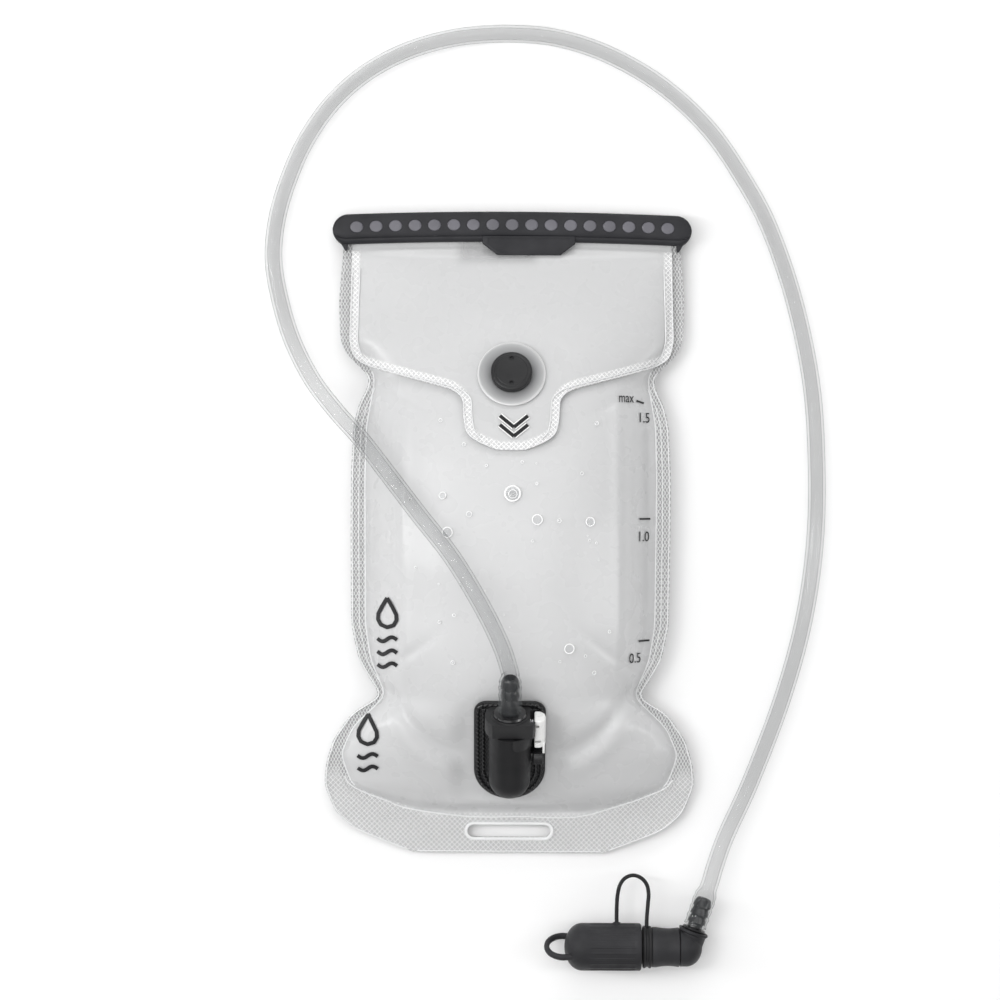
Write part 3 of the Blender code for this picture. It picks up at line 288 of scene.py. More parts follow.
def grained(name, color, roughness, grain=0.00006, scale=2600, wear=0.25, **sockets):
    """Moulded plastic: fine grain, slow tone variation and rubbed patches."""
    look = Look(name, color, roughness, **sockets)
    slow = look.noise(45, 4)
    fine = look.noise(scale, 2)
    light = tuple(min(1.0, c * (1 + wear) + 0.006) for c in color)
    look.set("Base Color", look.colors(look.ramp(slow, 0, 1, 0.35, 0.7), color, light))
    look.set("Roughness", look.ramp(look.noise(160, 5, 0.6), roughness - 0.07, roughness + 0.1, 0.3, 0.7))
    look.bump(fine, grain)
    return look.made


def film_look(name, color, alpha, thin_alpha, side, low, tall=1.9, pitch=1.75 * MM):
    """Milky film: satin, faintly clouded, with diamond nets pressed in where it is welded."""
    look = Look(name, color, 0.3)
    cloud = look.noise(14, 4, 0.55)
    weld = look.attribute("weld")
    foot = look.attribute("foot")
    net = look.lattice(pitch, 0.20, tall)
    wide_net = look.lattice(2.8 * MM, 0.12)
    clear = look.colors(look.ramp(cloud, 0, 1, 0.35, 0.65), tuple(c * 0.985 for c in color), color)
    # weld net colours; on the side welds the dark cells are a painted reflection of dark surroundings on the
    # pressed net
    band = look.colors(net, *side)
    base = look.colors(wide_net, *low)
    look.set("Base Color", look.colors(weld, clear, look.colors(foot, band, base)))
    look.set("Roughness", look.math("ADD", look.ramp(weld, 0.27, 0.42),
                                    look.ramp(look.noise(90, 2), -0.01, 0.02)))
    solid = look.ramp(look.attribute("thin"), alpha, thin_alpha)
    look.set("Alpha", look.math("MINIMUM", look.math("ADD", solid, look.ramp(weld, 0.0, 0.3)), 0.98))
    look.bump(look.noise(1500, 2), 0.00003)
    look.bump(look.math("MULTIPLY", look.math("MAXIMUM", net, look.math("MULTIPLY", wide_net, foot)), weld),
              0.0002)
    look.bump(look.noise(45, 2, 0.4), 0.0004, 0.25)
    return look.made


def hose_look():
    """Clear hose wall: thin where seen through; towards its rims, where the wall is seen edge-on, the alpha
    rises on a dark grey colour, a painted dark reflection along the hose's edges.
    """
    look = Look("hose_clear", (0.15, 0.16, 0.165), 0.06, **{"IOR": 1.45, "Specular IOR Level": 0.6})
    rim = look.node("LayerWeight")
    rim.inputs["Blend"].default_value = 0.42
    # alpha rises towards the rims on the dark grey base colour: painted dark reflection at the hose's edges
    look.set("Alpha", look.ramp(rim.outputs["Facing"], 0.09, 0.96, 0.5, 0.97))
    look.set("Roughness", look.ramp(look.noise(120, 3), 0.03, 0.1, 0.3, 0.7))
    look.bump(look.noise(30, 2), 0.0004, 0.12)
    return look.made


def droplet_look():
    look = Look("droplet", (0.93, 0.94, 0.95), 0.04, **{"IOR": 1.33})
    rim = look.node("LayerWeight")
    rim.inputs["Blend"].default_value = 0.5
    # near-white colour whose alpha rises towards the edges: a painted highlight ringing each drop
    look.set("Alpha", look.ramp(rim.outputs["Facing"], 0.10, 0.75, 0.05, 0.7))
    look.set("Roughness", look.ramp(look.noise(300, 2), 0.02, 0.07))
    return look.made


def metal_look(name, color, roughness):
    look = Look(name, color, roughness, Metallic=0.9)
    look.set("Roughness", look.ramp(look.noise(400, 4), roughness - 0.06, roughness + 0.12, 0.3, 0.7))
    look.set("Base Color", look.colors(look.noise(60, 3), tuple(c * 0.85 for c in color), color))
    look.bump(look.noise(900, 2), 0.00004)
    return look.made


def ring_look():
    """Translucent ring: dark near the button, paler outwards, with a bright rim line that is a painted
    highlight on its raised outer edge.
    """
    look = Look("snap_ring", (0.4, 0.4, 0.4), 0.32)
    tone = look.math("ADD", look.ramp(look.attribute("near"), 0.0, 1.0),
                     look.ramp(look.noise(60, 3), -0.1, 0.1))
    body = look.colors(tone, (0.42, 0.423, 0.427), (0.17, 0.172, 0.176))
    # light grey band at the outer edge: a painted highlight on the ring's raised rim
    look.set("Base Color", look.colors(look.attribute("rim"), body, (0.72, 0.72, 0.72)))
    look.bump(look.noise(1500, 2), 0.00003)
    return look.made


def ink_look():
    look = Look("ink", (0.012, 0.012, 0.013), 0.5, **{"Specular IOR Level": 0.2})
    look.set("Base Color", look.colors(look.noise(500, 3), (0.010, 0.010, 0.011), (0.028, 0.028, 0.03)))
    look.bump(look.noise(1500, 2), 0.00003)
    return look.made


# side welds: a real pressed diamond net whose dark cells are a painted reflection of dark surroundings
SIDE_NET_DARK_REFLECTION = ((0.33, 0.332, 0.335), (0.78, 0.782, 0.785))
FOOT_NET = ((0.56, 0.562, 0.565), (0.86, 0.862, 0.865))
FLAP_NET = ((0.64, 0.642, 0.645), (1.0, 1.0, 1.0))
FILM_FRONT = film_look("film_front", (0.71, 0.713, 0.717), 0.80, 0.30, SIDE_NET_DARK_REFLECTION, FOOT_NET)
FILM_BACK = film_look("film_back", (0.72, 0.723, 0.727), 0.86, 0.42, SIDE_NET_DARK_REFLECTION, FOOT_NET)
FILM_FLAP = film_look("film_flap", (0.75, 0.753, 0.757), 0.66, 0.26, FLAP_NET, FLAP_NET, 1.0, 2.6 * MM)
BEAD = grained("film_bead", (0.78, 0.785, 0.79), 0.3, wear=0.05)
SATIN = {"Specular IOR Level": 0.25}
RAIL = grained("rail_dark", (0.018, 0.018, 0.021), 0.48, **SATIN)
RAIL_BACK = grained("rail_back", (0.03, 0.03, 0.032), 0.5, **SATIN)
MAGNET = grained("magnet_disc", (0.095, 0.093, 0.108), 0.38, scale=1800, wear=0.5)
SNAP_RING = ring_look()
BLACK = grained("black_plastic", (0.020, 0.020, 0.021), 0.36, **SATIN)
SHELL = grained("port_shell", (0.010, 0.010, 0.011), 0.42, grain=0.00008, scale=1900, **SATIN)
MATT = grained("matt_black", (0.018, 0.018, 0.020), 0.5, grain=0.00009, scale=1900, wear=0.5, **SATIN)
GLOSS = grained("gloss_black", (0.010, 0.010, 0.011), 0.16, grain=0.00002)
WHITE = grained("white_plastic", (0.84, 0.84, 0.83), 0.3, wear=0.02)
SILICONE = grained("silicone", (0.012, 0.012, 0.013), 0.5, scale=1200, **SATIN)
RUBBER = grained("seal_rubber", (0.015, 0.015, 0.015), 0.7)
STEEL = metal_look("spring_steel", (0.62, 0.62, 0.64), 0.25)
HOSE = hose_look()
DROPLET = droplet_look()
# white colour for the rings around the water drops: a painted highlight
DROP_RIM_HIGHLIGHT = grained("drop_rim_highlight", (0.96, 0.96, 0.96), 0.15, wear=0.02)
INK = ink_look()


# edges sharper than this many degrees stay hard
SHARP_ANGLE = 35.0


# ---- mesh helpers ------------------------------------------------------------------------------------------
def link(name, mesh, look, angle=SHARP_ANGLE):
    mesh.shade_smooth()
    mesh.set_sharp_from_angle(angle=math.radians(angle))
    mesh.materials.clear()
    mesh.materials.append(look)
    made = bpy.data.objects.new(name, mesh)
    bpy.context.scene.collection.objects.link(made)
    return made


def from_bmesh(name, bm, look, place=None, angle=SHARP_ANGLE):
    bmesh.ops.remove_doubles(bm, verts=bm.verts, dist=0.002 * MM)
    bmesh.ops.recalc_face_normals(bm, faces=bm.faces)
    if place is not None:
        bm.transform(place)
    mesh = bpy.data.meshes.new(name)
    bm.to_mesh(mesh)
    bm.free()
    return link(name, mesh, look, angle)


def finish_piece(made, body, replaces=()):
    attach(made, body)
    if replaces:
        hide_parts(*replaces)
    return made


def applied(made):
    """Apply every modifier of made, in place."""
    graph = bpy.context.evaluated_depsgraph_get()
    mesh = bpy.data.meshes.new_from_object(made.evaluated_get(graph), depsgraph=graph)
    made.modifiers.clear()
    made.data = mesh
    return made


def boolean(made, tool, operation="DIFFERENCE"):
    step = made.modifiers.new("cut", "BOOLEAN")
    step.operation = operation
    step.solver = "EXACT"
    step.object = tool
    applied(made)
    bpy.data.objects.remove(tool, do_unlink=True)
    mesh = made.data
    mesh.shade_smooth()
    mesh.set_sharp_from_angle(angle=math.radians(SHARP_ANGLE))
    return made


def rounded(made, width, segments=3, angle=SHARP_ANGLE):
    step = made.modifiers.new("bevel", "BEVEL")
    step.width = width
    step.segments = segments
    step.limit_method = "ANGLE"
    step.angle_limit = math.radians(angle)
    applied(made)
    made.data.shade_smooth()
    made.data.set_sharp_from_angle(angle=math.radians(40))
    return made


def mm(*points):
    """Points given in millimetres."""
    return [tuple(v * MM for v in point) for point in points]


def revolve(profile, sides, shape=None):
    """A solid turned about local Z from a closed outline; shape(angle, radius, z) varies its radius."""
    bm = bmesh.new()
    rings = []
    for r, z in profile:
        if r < 1e-9:
            rings.append([bm.verts.new((0, 0, z))])
            continue
        ring = []
        for k in range(sides):
            a = 2 * math.pi * k / sides
            here = shape(a, r, z) if shape else r
            ring.append(bm.verts.new((here * math.cos(a), here * math.sin(a), z)))
        rings.append(ring)
    for low, high in zip(rings, rings[1:] + rings[:1]):
        for k in range(sides):
            n = (k + 1) % sides
            corners = [low[k % len(low)], low[n % len(low)], high[n % len(high)], high[k % len(high)]]
            unique = list(dict.fromkeys(corners))
            if len(unique) > 2:
                bm.faces.new(unique)
    return bm


def prism(points, low, high):
    bm = bmesh.new()
    base = [bm.verts.new((x, y, low)) for x, y in points]
    top = [bm.verts.new((x, y, high)) for x, y in points]
    bm.faces.new(base[::-1])
    bm.faces.new(top)
    for k in range(len(points)):
        n = (k + 1) % len(points)
        bm.faces.new((base[k], base[n], top[n], top[k]))
    return bm


def arc(cx, cy, radius, start, end, steps):
    angles = np.radians(np.linspace(start, end, steps + 1))
    return [(cx + radius * math.cos(a), cy + radius * math.sin(a)) for a in angles]


def frames(points, closed=False):
    """Points with two cross directions each, carried along without twist."""
    points = [Vector(p) for p in points]
    count = len(points)
    normal = None
    made = []
    for k, p in enumerate(points):
        before = points[k - 1] if closed or k else p
        after = points[(k + 1) % count] if closed or k < count - 1 else p
        ahead = (after - before).normalized()
        if normal is None:
            normal = ahead.cross(Vector((0, 0, 1)))
            normal = normal.normalized() if normal.length > 0.1 else ahead.orthogonal().normalized()
        normal = (normal - ahead * normal.dot(ahead)).normalized()
        made.append((p, normal, ahead.cross(normal)))
    return made


def sweep(points, radius, sides, closed=False, shape=None):
    """A bar through points; shape(step, angle) gives its two half sizes, radius is used without it."""
    bm = bmesh.new()
    loops = []
    for k, (p, normal, side) in enumerate(frames(points, closed)):
        loop = []
        for j in range(sides):
            b = 2 * math.pi * j / sides
            wide, tall = shape(k, b) if shape else (radius, radius)
            loop.append(bm.verts.new(p + wide * math.cos(b) * normal + tall * math.sin(b) * side))
        loops.append(loop)
    pairs = list(zip(loops, loops[1:]))
    if closed:
        pairs.append((loops[-1], loops[0]))
    for here, there in pairs:
        for j in range(sides):
            n = (j + 1) % sides
            bm.faces.new((here[j], here[n], there[n], there[j]))
    if not closed:
        bm.faces.new(loops[0][::-1])
        bm.faces.new(loops[-1])
    return bm


def catmull(points, step):
    """Points every step along a smooth curve through the given ones."""
    points = [Vector(p) for p in points]
    fine = []
    ends = [points[0] * 2 - points[1]] + points + [points[-1] * 2 - points[-2]]
    for a, b, c, d in zip(ends, ends[1:], ends[2:], ends[3:]):
        for k in range(24):
            t = k / 24
            fine.append(0.5 * (2 * b + (c - a) * t + (2 * a - 5 * b + 4 * c - d) * t**2
                               + (3 * b - a - 3 * c + d) * t**3))
    fine.append(points[-1])
    fine = np.array(fine)
    reach = np.concatenate([[0], np.cumsum(np.linalg.norm(np.diff(fine, axis=0), axis=1))])
    count = max(3, int(round(reach[-1] / step)) + 1)
    s = np.linspace(0, reach[-1], count)
    return np.stack([np.interp(s, reach, fine[:, i]) for i in range(3)], axis=1), reach[-1]


def along(axis, origin):
    return Matrix.Translation(origin) @ Vector(axis).to_track_quat("Z", "Y").to_matrix().to_4x4()


# ---- film surfaces -----------------------------------------------------------------------------------------
def smoothed(rows, sigma):
    """Read a table of (y, value) rows smoothly, corners rounded over sigma millimetres."""
    step = 0.25
    ys, values = zip(*rows)
    y = np.arange(ys[0], ys[-1] + step, step)
    v = np.interp(y, ys, values)
    half = int(4 * sigma / step)
    kernel = np.exp(-0.5 * (np.arange(-half, half + 1) * step / sigma) ** 2)
    v = np.convolve(np.pad(v, half, mode="reflect", reflect_type="odd"), kernel / kernel.sum(), "valid")
    return lambda q: np.interp(np.asarray(q) / MM, y, v) * MM


outline_w = smoothed(OUTLINE, 2.2)
chamber_w = smoothed(CHAMBER, 2.6)
crest_z = smoothed(CREST, 3.5)
weld_z = smoothed(WELD_PLANE, 4.0)
back_line = smoothed(BACK_LINE, 5.0)
flap_w = smoothed(FLAP_OUTLINE, 1.5)


def bell(value, width):
    return np.exp(-((value / width) ** 2))


def window(value, low, high, soft):
    return 1 / (1 + np.exp(-(value - low) / soft)) / (1 + np.exp(-(high - value) / soft))


def eased(value):
    value = np.clip(value, 0, 1)
    return value * value * (3 - 2 * value)


def creases(x, y):
    """Folds of the filled film: side folds, waist folds, the lower lobe's fold and puckers at the welds."""
    side = np.abs(x)
    wall = chamber_w(y) - side
    z = -0.9 * MM * bell(side - 60.5 * MM, 2.0 * MM) * window(y, -72 * MM, 66 * MM, 5 * MM)
    z += 1.1 * MM * bell(side - 56.5 * MM, 2.8 * MM) * window(y, -72 * MM, 66 * MM, 6 * MM)
    steep = np.where(x > 0, 0.55, 0.38) * window(y, -76 * MM, 72 * MM, 6 * MM)
    z -= steep * 0.8 * MM * np.log1p(np.exp((side - 60 * MM) / (0.8 * MM)))
    reach = np.clip((side - 16 * MM) / (47 * MM), 0, 1)
    fold = -118 * MM + 31 * MM * reach**2.4
    z -= 3.4 * MM * bell(y - fold, 5.5 * MM) * window(side, 18 * MM, 70 * MM, 3 * MM)
    z += 1.6 * MM * bell(y - fold + 11 * MM, 6.0 * MM) * window(side, 22 * MM, 66 * MM, 4 * MM)
    for y0, slant, deep in ((76.0, 0.55, 1.3), (-74.0, -0.75, 1.5), (-98.0, 0.9, 1.1)):
        line = y0 * MM + slant * (side - 66 * MM)
        z -= deep * MM * bell(y - line, 2.6 * MM) * window(side, 46 * MM, 76 * MM, 4 * MM)
    ripple = np.sin(y / (2.1 * MM) + 1.7 * np.sin(y / (9 * MM)) + np.sign(x))
    z += 0.32 * MM * ripple * bell(wall - 3 * MM, 5 * MM)
    end = y - CHAMBER_END_Y
    pucker = np.sin(x / (2.6 * MM) + np.sin(x / (11 * MM))) * bell(end - 5 * MM, 6 * MM)
    z += 0.45 * MM * pucker * (side < 60 * MM)
    z += 0.35 * MM * np.sin(x / (15 * MM) + y / (21 * MM)) * np.sin(y / (17 * MM) - x / (40 * MM))
    return z


def snap_plane(y):
    return SNAP_SEAT_Z - (y - SNAP_Y) * math.tan(SNAP_SLOPE)


def port_plane(y):
    return PORT_Z - FRAME_FILM / math.cos(PORT_SLOPE) + (y - PORT_Y) * math.tan(PORT_SLOPE)


def front_z(x, y):
    x, y = np.broadcast_arrays(np.asarray(x, float), np.asarray(y, float))
    weld = weld_z(y) + WELD_HALF_GAP
    t = np.clip(np.abs(x) / chamber_w(y), 0, 1)
    end = np.clip((y - CHAMBER_END_Y) / (5 * MM), 0, 1) ** 0.6
    full = (1 - t**3.1) ** 0.62 * end
    flat = np.clip((np.hypot(x / 1.1, y - SNAP_Y) - 20 * MM) / (10 * MM), 0, 1)
    flat *= np.clip((np.hypot(x / 0.9, (y - PORT_Y) * 0.62) - 21 * MM) / (7 * MM), 0, 1)
    z = weld + (crest_z(y) - weld) * full + creases(x, y) * np.minimum(full * 3, 1) * flat
    away = eased((36 * MM - np.abs(x)) / (12 * MM)) * eased((28 * MM - np.abs(y - SNAP_Y)) / (8 * MM))
    z = z - away * np.maximum(z - snap_plane(y), 0)
    away = eased((35 * MM - np.abs(x)) / (13 * MM)) * (y < -70 * MM)
    z = z - away * np.maximum(z - port_plane(y), 0)
    neck = np.clip((y - 150 * MM) / (6 * MM), 0, 1)
    z = z + neck * (weld + 0.3 * MM - z)
    return np.maximum(z, weld)


def back_z(x, y):
    weld = weld_z(y) - WELD_HALF_GAP
    floor = back_line(y) + FILM
    t = np.clip(np.abs(x) / chamber_w(y), 0, 1)
    rise = np.clip((t - 0.70) / 0.30, 0, 1) ** 2
    z = floor + (weld - floor) * rise
    z = z - 0.5 * MM * np.sin(y / (2.6 * MM) + np.sign(x)) * bell(t - 0.93, 0.06)
    return np.where(y <= CHAMBER_END_Y, weld, np.maximum(z, FILM))


def flap_under_z(x, y):
    """The flap lies on the front sheet and is held off it by the snap's base."""
    reach = np.hypot(x, y - SNAP_Y)
    calm = np.clip((reach - 18 * MM) / (20 * MM), 0, 1)
    base = front_z(x, y) * (1 - 0.6 * calm) + 0.6 * calm * flap_smooth_z(x, y)
    root = np.clip((y - 148 * MM) / (6 * MM), 0, 1)
    lift = 2.7 * MM + 0.4 * MM * np.clip(1 - reach / (40 * MM), 0, 1)
    return base + lift - 1.5 * MM * root


def flap_smooth_z(x, y):
    weld = weld_z(y) + WELD_HALF_GAP
    t = np.clip(np.abs(x) / chamber_w(y), 0, 1)
    return weld + (crest_z(y) - weld) * (1 - t**3.1) ** 0.62


def shell(name, points, thickness, look, keep=None):
    """A film sheet from a grid of inner points, thickened along its normals."""
    rows, columns, _ = points.shape
    normal = np.cross(np.gradient(points, axis=1), np.gradient(points, axis=0))
    normal /= np.linalg.norm(normal, axis=2, keepdims=True) + 1e-12
    outer = points + normal * thickness
    count = rows * columns
    index = np.arange(count).reshape(rows, columns)
    quads = np.stack([index[:-1, :-1], index[:-1, 1:], index[1:, 1:], index[1:, :-1]], axis=-1)
    used = np.ones((rows - 1, columns - 1), bool) if keep is None else keep
    quads = quads[used]
    edges = np.concatenate([quads[:, [k, (k + 1) % 4]] for k in range(4)])
    codes = edges[:, 0] * count + edges[:, 1]
    free = edges[~np.isin(edges[:, 1] * count + edges[:, 0], codes)]
    rim = np.stack([free[:, 1], free[:, 0], free[:, 0] + count, free[:, 1] + count], axis=-1)
    faces = np.concatenate([quads, quads[:, ::-1] + count, rim])
    mesh = bpy.data.meshes.new(name)
    mesh.from_pydata(np.concatenate([points.reshape(-1, 3), outer.reshape(-1, 3)]), [], faces.tolist())
    bm = bmesh.new()
    bm.from_mesh(mesh)
    bmesh.ops.delete(bm, geom=[v for v in bm.verts if not v.link_faces], context="VERTS")
    bmesh.ops.recalc_face_normals(bm, faces=bm.faces)
    bm.to_mesh(mesh)
    bm.free()
    return link(name, mesh, look, 60)


def grid(low, high, width, height, step, columns):
    y = np.linspace(low, high, int(round((high - low) / step)) + 1)
    u = np.sin(np.linspace(-1, 1, columns) * math.pi / 2 * 0.86) / math.sin(math.pi / 2 * 0.86)
    yy, uu = np.meshgrid(y, u, indexing="ij")
    xx = uu * width(yy)
    zz = height(xx, yy)
    for _ in range(2):
        inner = zz[1:-1, 1:-1]
        mean = (zz[:-2, 1:-1] + zz[2:, 1:-1] + zz[1:-1, :-2] + zz[1:-1, 2:]) / 4
        zz[1:-1, 1:-1] = inner * 0.4 + mean * 0.6
    return np.stack([xx, yy, zz], axis=-1)


def mark(made, name, value):
    """Store a value per point, from value(x, y)."""
    co = np.empty(len(made.data.vertices) * 3)
    made.data.vertices.foreach_get("co", co)
    co = co.reshape(-1, 3)
    found = np.clip(value(co[:, 0], co[:, 1]), 0, 1).astype(np.float32)
    made.data.attributes.new(name, "FLOAT", "POINT").data.foreach_set("value", found)


def foot_tab(x, y):
    """1 on the welded foot and its outer corners."""
    return (-134 * MM - y) / (8 * MM) + np.clip((np.abs(x) - 88 * MM) / (4 * MM), 0, 1) * (y < 0)


def mark_film(made, depth):
    """Mark the welds from depth(x, y), metres inside the welded band, the foot tab and the thin neck."""
    mark(made, "weld", lambda x, y: depth(x, y) / (0.8 * MM) + 0.5)
    mark(made, "foot", foot_tab)
    mark(made, "thin", lambda x, y: window(x, -29 * MM, 13 * MM, 1.3 * MM) * window(y, 145 * MM, 175 * MM,
                                                                                    1.2 * MM))


def body_weld(x, y):
    return np.maximum(np.abs(x) - chamber_w(y) - 0.6 * MM, CHAMBER_END_Y - 1.0 * MM - y)


FLAP_EDGE = np.array([(s * flap_w(y), y) for s in (-1, 1) for y in np.arange(FLAP_LOW_Y, 158 * MM, 0.7 * MM)])


def flap_weld(x, y):
    gap = np.full(x.shape, 1.0)
    for start in range(0, len(FLAP_EDGE), 40):
        part = FLAP_EDGE[start:start + 40]
        away = np.hypot(x[:, None] - part[None, :, 0], y[:, None] - part[None, :, 1])
        gap = np.minimum(gap, away.min(axis=1))
    bottom = np.where(np.abs(x) < 7.5 * MM, y - FLAP_LOW_Y, 1.0)
    gap = np.minimum(gap, bottom)
    return np.where(y > 152 * MM, -1.0, 4.3 * MM - gap)


def slot_tool(grow=0.0):
    r = HANG_SLOT_RADIUS + grow
    x = HANG_SLOT_LENGTH / 2 - HANG_SLOT_RADIUS
    outline = arc(x, 0, r, -90, 90, 16) + arc(-x, 0, r, 90, 270, 16)
    return from_bmesh("slot_tool", prism(outline, -6 * MM, 20 * MM), INK,
                      Matrix.Translation((0, HANG_SLOT_Y, 0)))


def edge_path(width, side, low, high, surface, inset=0.0, step=1.5 * MM):
    """Points along one side of an outline, inset from it, on a surface."""
    y = np.arange(low, high + step / 2, step)
    x = side * (width(y) - inset)
    return np.stack([x, y, surface(x, y)], axis=1)


def bead(name, points, body, radius=0.45 * MM, look=BEAD, closed=False):
    made = from_bmesh(name, sweep(points, radius, 8, closed), look)
    return finish_piece(made, body)


def film_shells():
    front = shell("front_sheet", grid(BOTTOM_Y, 168 * MM, outline_w, front_z, 1.3 * MM, 150)[:, ::-1], FILM,
                  FILM_FRONT)
    back = shell("back_sheet", grid(BOTTOM_Y, 168 * MM, outline_w, back_z, 1.6 * MM, 130), FILM, FILM_BACK)
    for made in (front, back):
        boolean(made, slot_tool())
        mark_film(made, body_weld)
    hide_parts("front_film", "neck_film")
    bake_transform(front)
    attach(back, "reservoir")
    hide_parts("back_film", "back_foot", "back_lobe", "back_neck")
    neck_sides()


def neck_sides():
    """Film folded into the neck's side welds."""
    for side, label in ((-1, "left"), (1, "right")):
        y = np.linspace(100 * MM, 156 * MM, 40)
        x = side * (outline_w(y) - 1.6 * MM)
        low = weld_z(y) - 0.9 * MM
        high = weld_z(y) + 0.9 * MM
        levels = np.linspace(0, 1, 14)
        points = np.zeros((len(y), len(levels), 3))
        for k, level in enumerate(levels):
            points[:, k, 0] = x
            points[:, k, 1] = y
            points[:, k, 2] = low + (high - low) * level
        made = shell(f"neck_fold_{label}", points if side > 0 else points[:, ::-1], -0.35 * MM, FILM_BACK)
        mark_film(made, lambda x, y: x * 0 - 1)
        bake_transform(made)


def weld_beads():
    def top(x, y):
        return front_z(x, y) + FILM

    for side, label in ((-1, "left"), (1, "right")):
        seam = edge_path(chamber_w, side, -137 * MM, 86 * MM, top, -0.4 * MM)
        bead(f"seam_bead_{label}", seam, "reservoir", 0.4 * MM)
        rim = edge_path(outline_w, side, -172 * MM, 86 * MM, top, 0.8 * MM)
        bead(f"edge_bead_{label}", rim, "reservoir", 0.35 * MM)
        middle = edge_path(outline_w, side, -80 * MM, 78 * MM, top, 4.4 * MM)
        bead(f"weld_rib_{label}", middle, "reservoir", 0.3 * MM)
    y_seam = CHAMBER_END_Y - 0.8 * MM
    left = edge_path(chamber_w, -1, -150 * MM, -132 * MM, top, -2.6 * MM)[::-1]
    right = edge_path(chamber_w, 1, -150 * MM, -132 * MM, top, -2.6 * MM)
    x = np.linspace(-48 * MM, 48 * MM, 60)
    line = np.stack([x, np.full_like(x, y_seam - 1.6 * MM), top(x, np.full_like(x, y_seam - 1.6 * MM))],
                    axis=1)
    path, _ = catmull(np.concatenate([left, line[4:-4:6], right])[::3], 1.5 * MM)
    path[:, 2] = top(path[:, 0], path[:, 1])
    bead("bottom_seam_bead", path, "reservoir", 0.4 * MM)
    x = np.linspace(-50 * MM, 50 * MM, 60)
    low = np.stack([x, np.full_like(x, BOTTOM_Y + 0.7 * MM), top(x, np.full_like(x, BOTTOM_Y + 0.7 * MM))],
                   axis=1)
    bead("bottom_edge_bead", low, "reservoir", 0.35 * MM)
    rim_of_slot()


def rim_of_slot():
    """Pressed rim around the hang slot."""
    r = 5.1 * MM
    x = HANG_SLOT_LENGTH / 2 - HANG_SLOT_RADIUS
    outline = arc(x, 0, r, -90, 90, 20) + arc(-x, 0, r, 90, 270, 20)
    tilt = Matrix.Rotation(math.radians(3.9), 4, "X")
    place = Matrix.Translation((0, HANG_SLOT_Y, 4.75 * MM)) @ tilt
    made = from_bmesh("hang_slot_rim", prism(outline, 0.4 * MM, 1.5 * MM), BEAD, place)
    boolean(made, slot_tool(0.05 * MM))
    finish_piece(rounded(made, 0.4 * MM), "reservoir")


# ---- flap --------------------------------------------------------------------------------------------------
def flap():
    points = grid(FLAP_LOW_Y, 157.5 * MM, flap_w, flap_under_z, 0.9 * MM, 150)[:, ::-1]
    middle = (points[:-1, :-1] + points[1:, 1:]) / 2
    keep = np.hypot(middle[..., 0], (middle[..., 1] - SNAP_Y) / math.cos(SNAP_SLOPE)) > 10.8 * MM
    made = shell("flap_sheet", points, FILM, FILM_FLAP, keep)
    mark_film(made, flap_weld)
    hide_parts("flap_film")
    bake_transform(made)

    def top(x, y):
        return flap_under_z(x, y) + FILM

    for side, label in ((-1, "left"), (1, "right")):
        for inset, kind in ((0.5 * MM, "edge"), (4.6 * MM, "seam")):
            low = 45.5 * MM + inset
            path = edge_path(flap_w, side, low, 142 * MM, top, inset, 0.8 * MM)
            bead(f"flap_{kind}_{label}", path[path[:, 0] * side > 1 * MM], "flap", 0.3 * MM)
    chevrons(top)


def ribbon(points, width, surface, lift, columns=4):
    """A flat stroke along 2-D points, laid on a surface."""
    points = np.array(points, float)
    reach = np.concatenate([[0], np.cumsum(np.linalg.norm(np.diff(points, axis=0), axis=1))])
    s = np.linspace(0, reach[-1], max(2, int(reach[-1] / (0.8 * MM)) + 1))
    s = np.unique(np.concatenate([s, reach]))
    line = np.stack([np.interp(s, reach, points[:, i]) for i in (0, 1)], axis=1)
    ahead = np.gradient(line, axis=0)
    ahead /= np.linalg.norm(ahead, axis=1, keepdims=True) + 1e-12
    side = np.stack([-ahead[:, 1], ahead[:, 0]], axis=1)
    across = np.linspace(-0.5, 0.5, columns + 1) * width
    xy = line[:, None, :] + side[:, None, :] * across[None, :, None]
    z = surface(xy[..., 0], xy[..., 1]) + lift
    return np.concatenate([xy, z[..., None]], axis=2)


def print_on(name, strokes, width, surface, lift, look, body):
    """Several printed strokes as one thin piece."""
    parts = [shell(f"{name}_{k}", ribbon(s, width, surface, lift)[:, ::-1], 0.05 * MM, look)
             for k, s in enumerate(strokes)]
    made = parts[0]
    if len(parts) > 1:
        bm = bmesh.new()
        for part in parts:
            bm.from_mesh(part.data)
        bm.to_mesh(made.data)
        bm.free()
        for part in parts[1:]:
            bpy.data.objects.remove(part, do_unlink=True)
    made.name = name
    return finish_piece(made, body)


def chevrons(surface):
    strokes = []
    for y in (61.9 * MM, 57.1 * MM):
        strokes.append([(-6.1 * MM, y), (1.3 * MM, y - 6.1 * MM)])
        strokes.append([(1.3 * MM, y - 6.1 * MM), (8.7 * MM, y)])
    print_on("chevron_outline", strokes, 3.1 * MM, surface, 0.02 * MM, WHITE, "flap")
    print_on("chevron_marks", strokes, 1.9 * MM, surface, 0.12 * MM, INK, "flap")


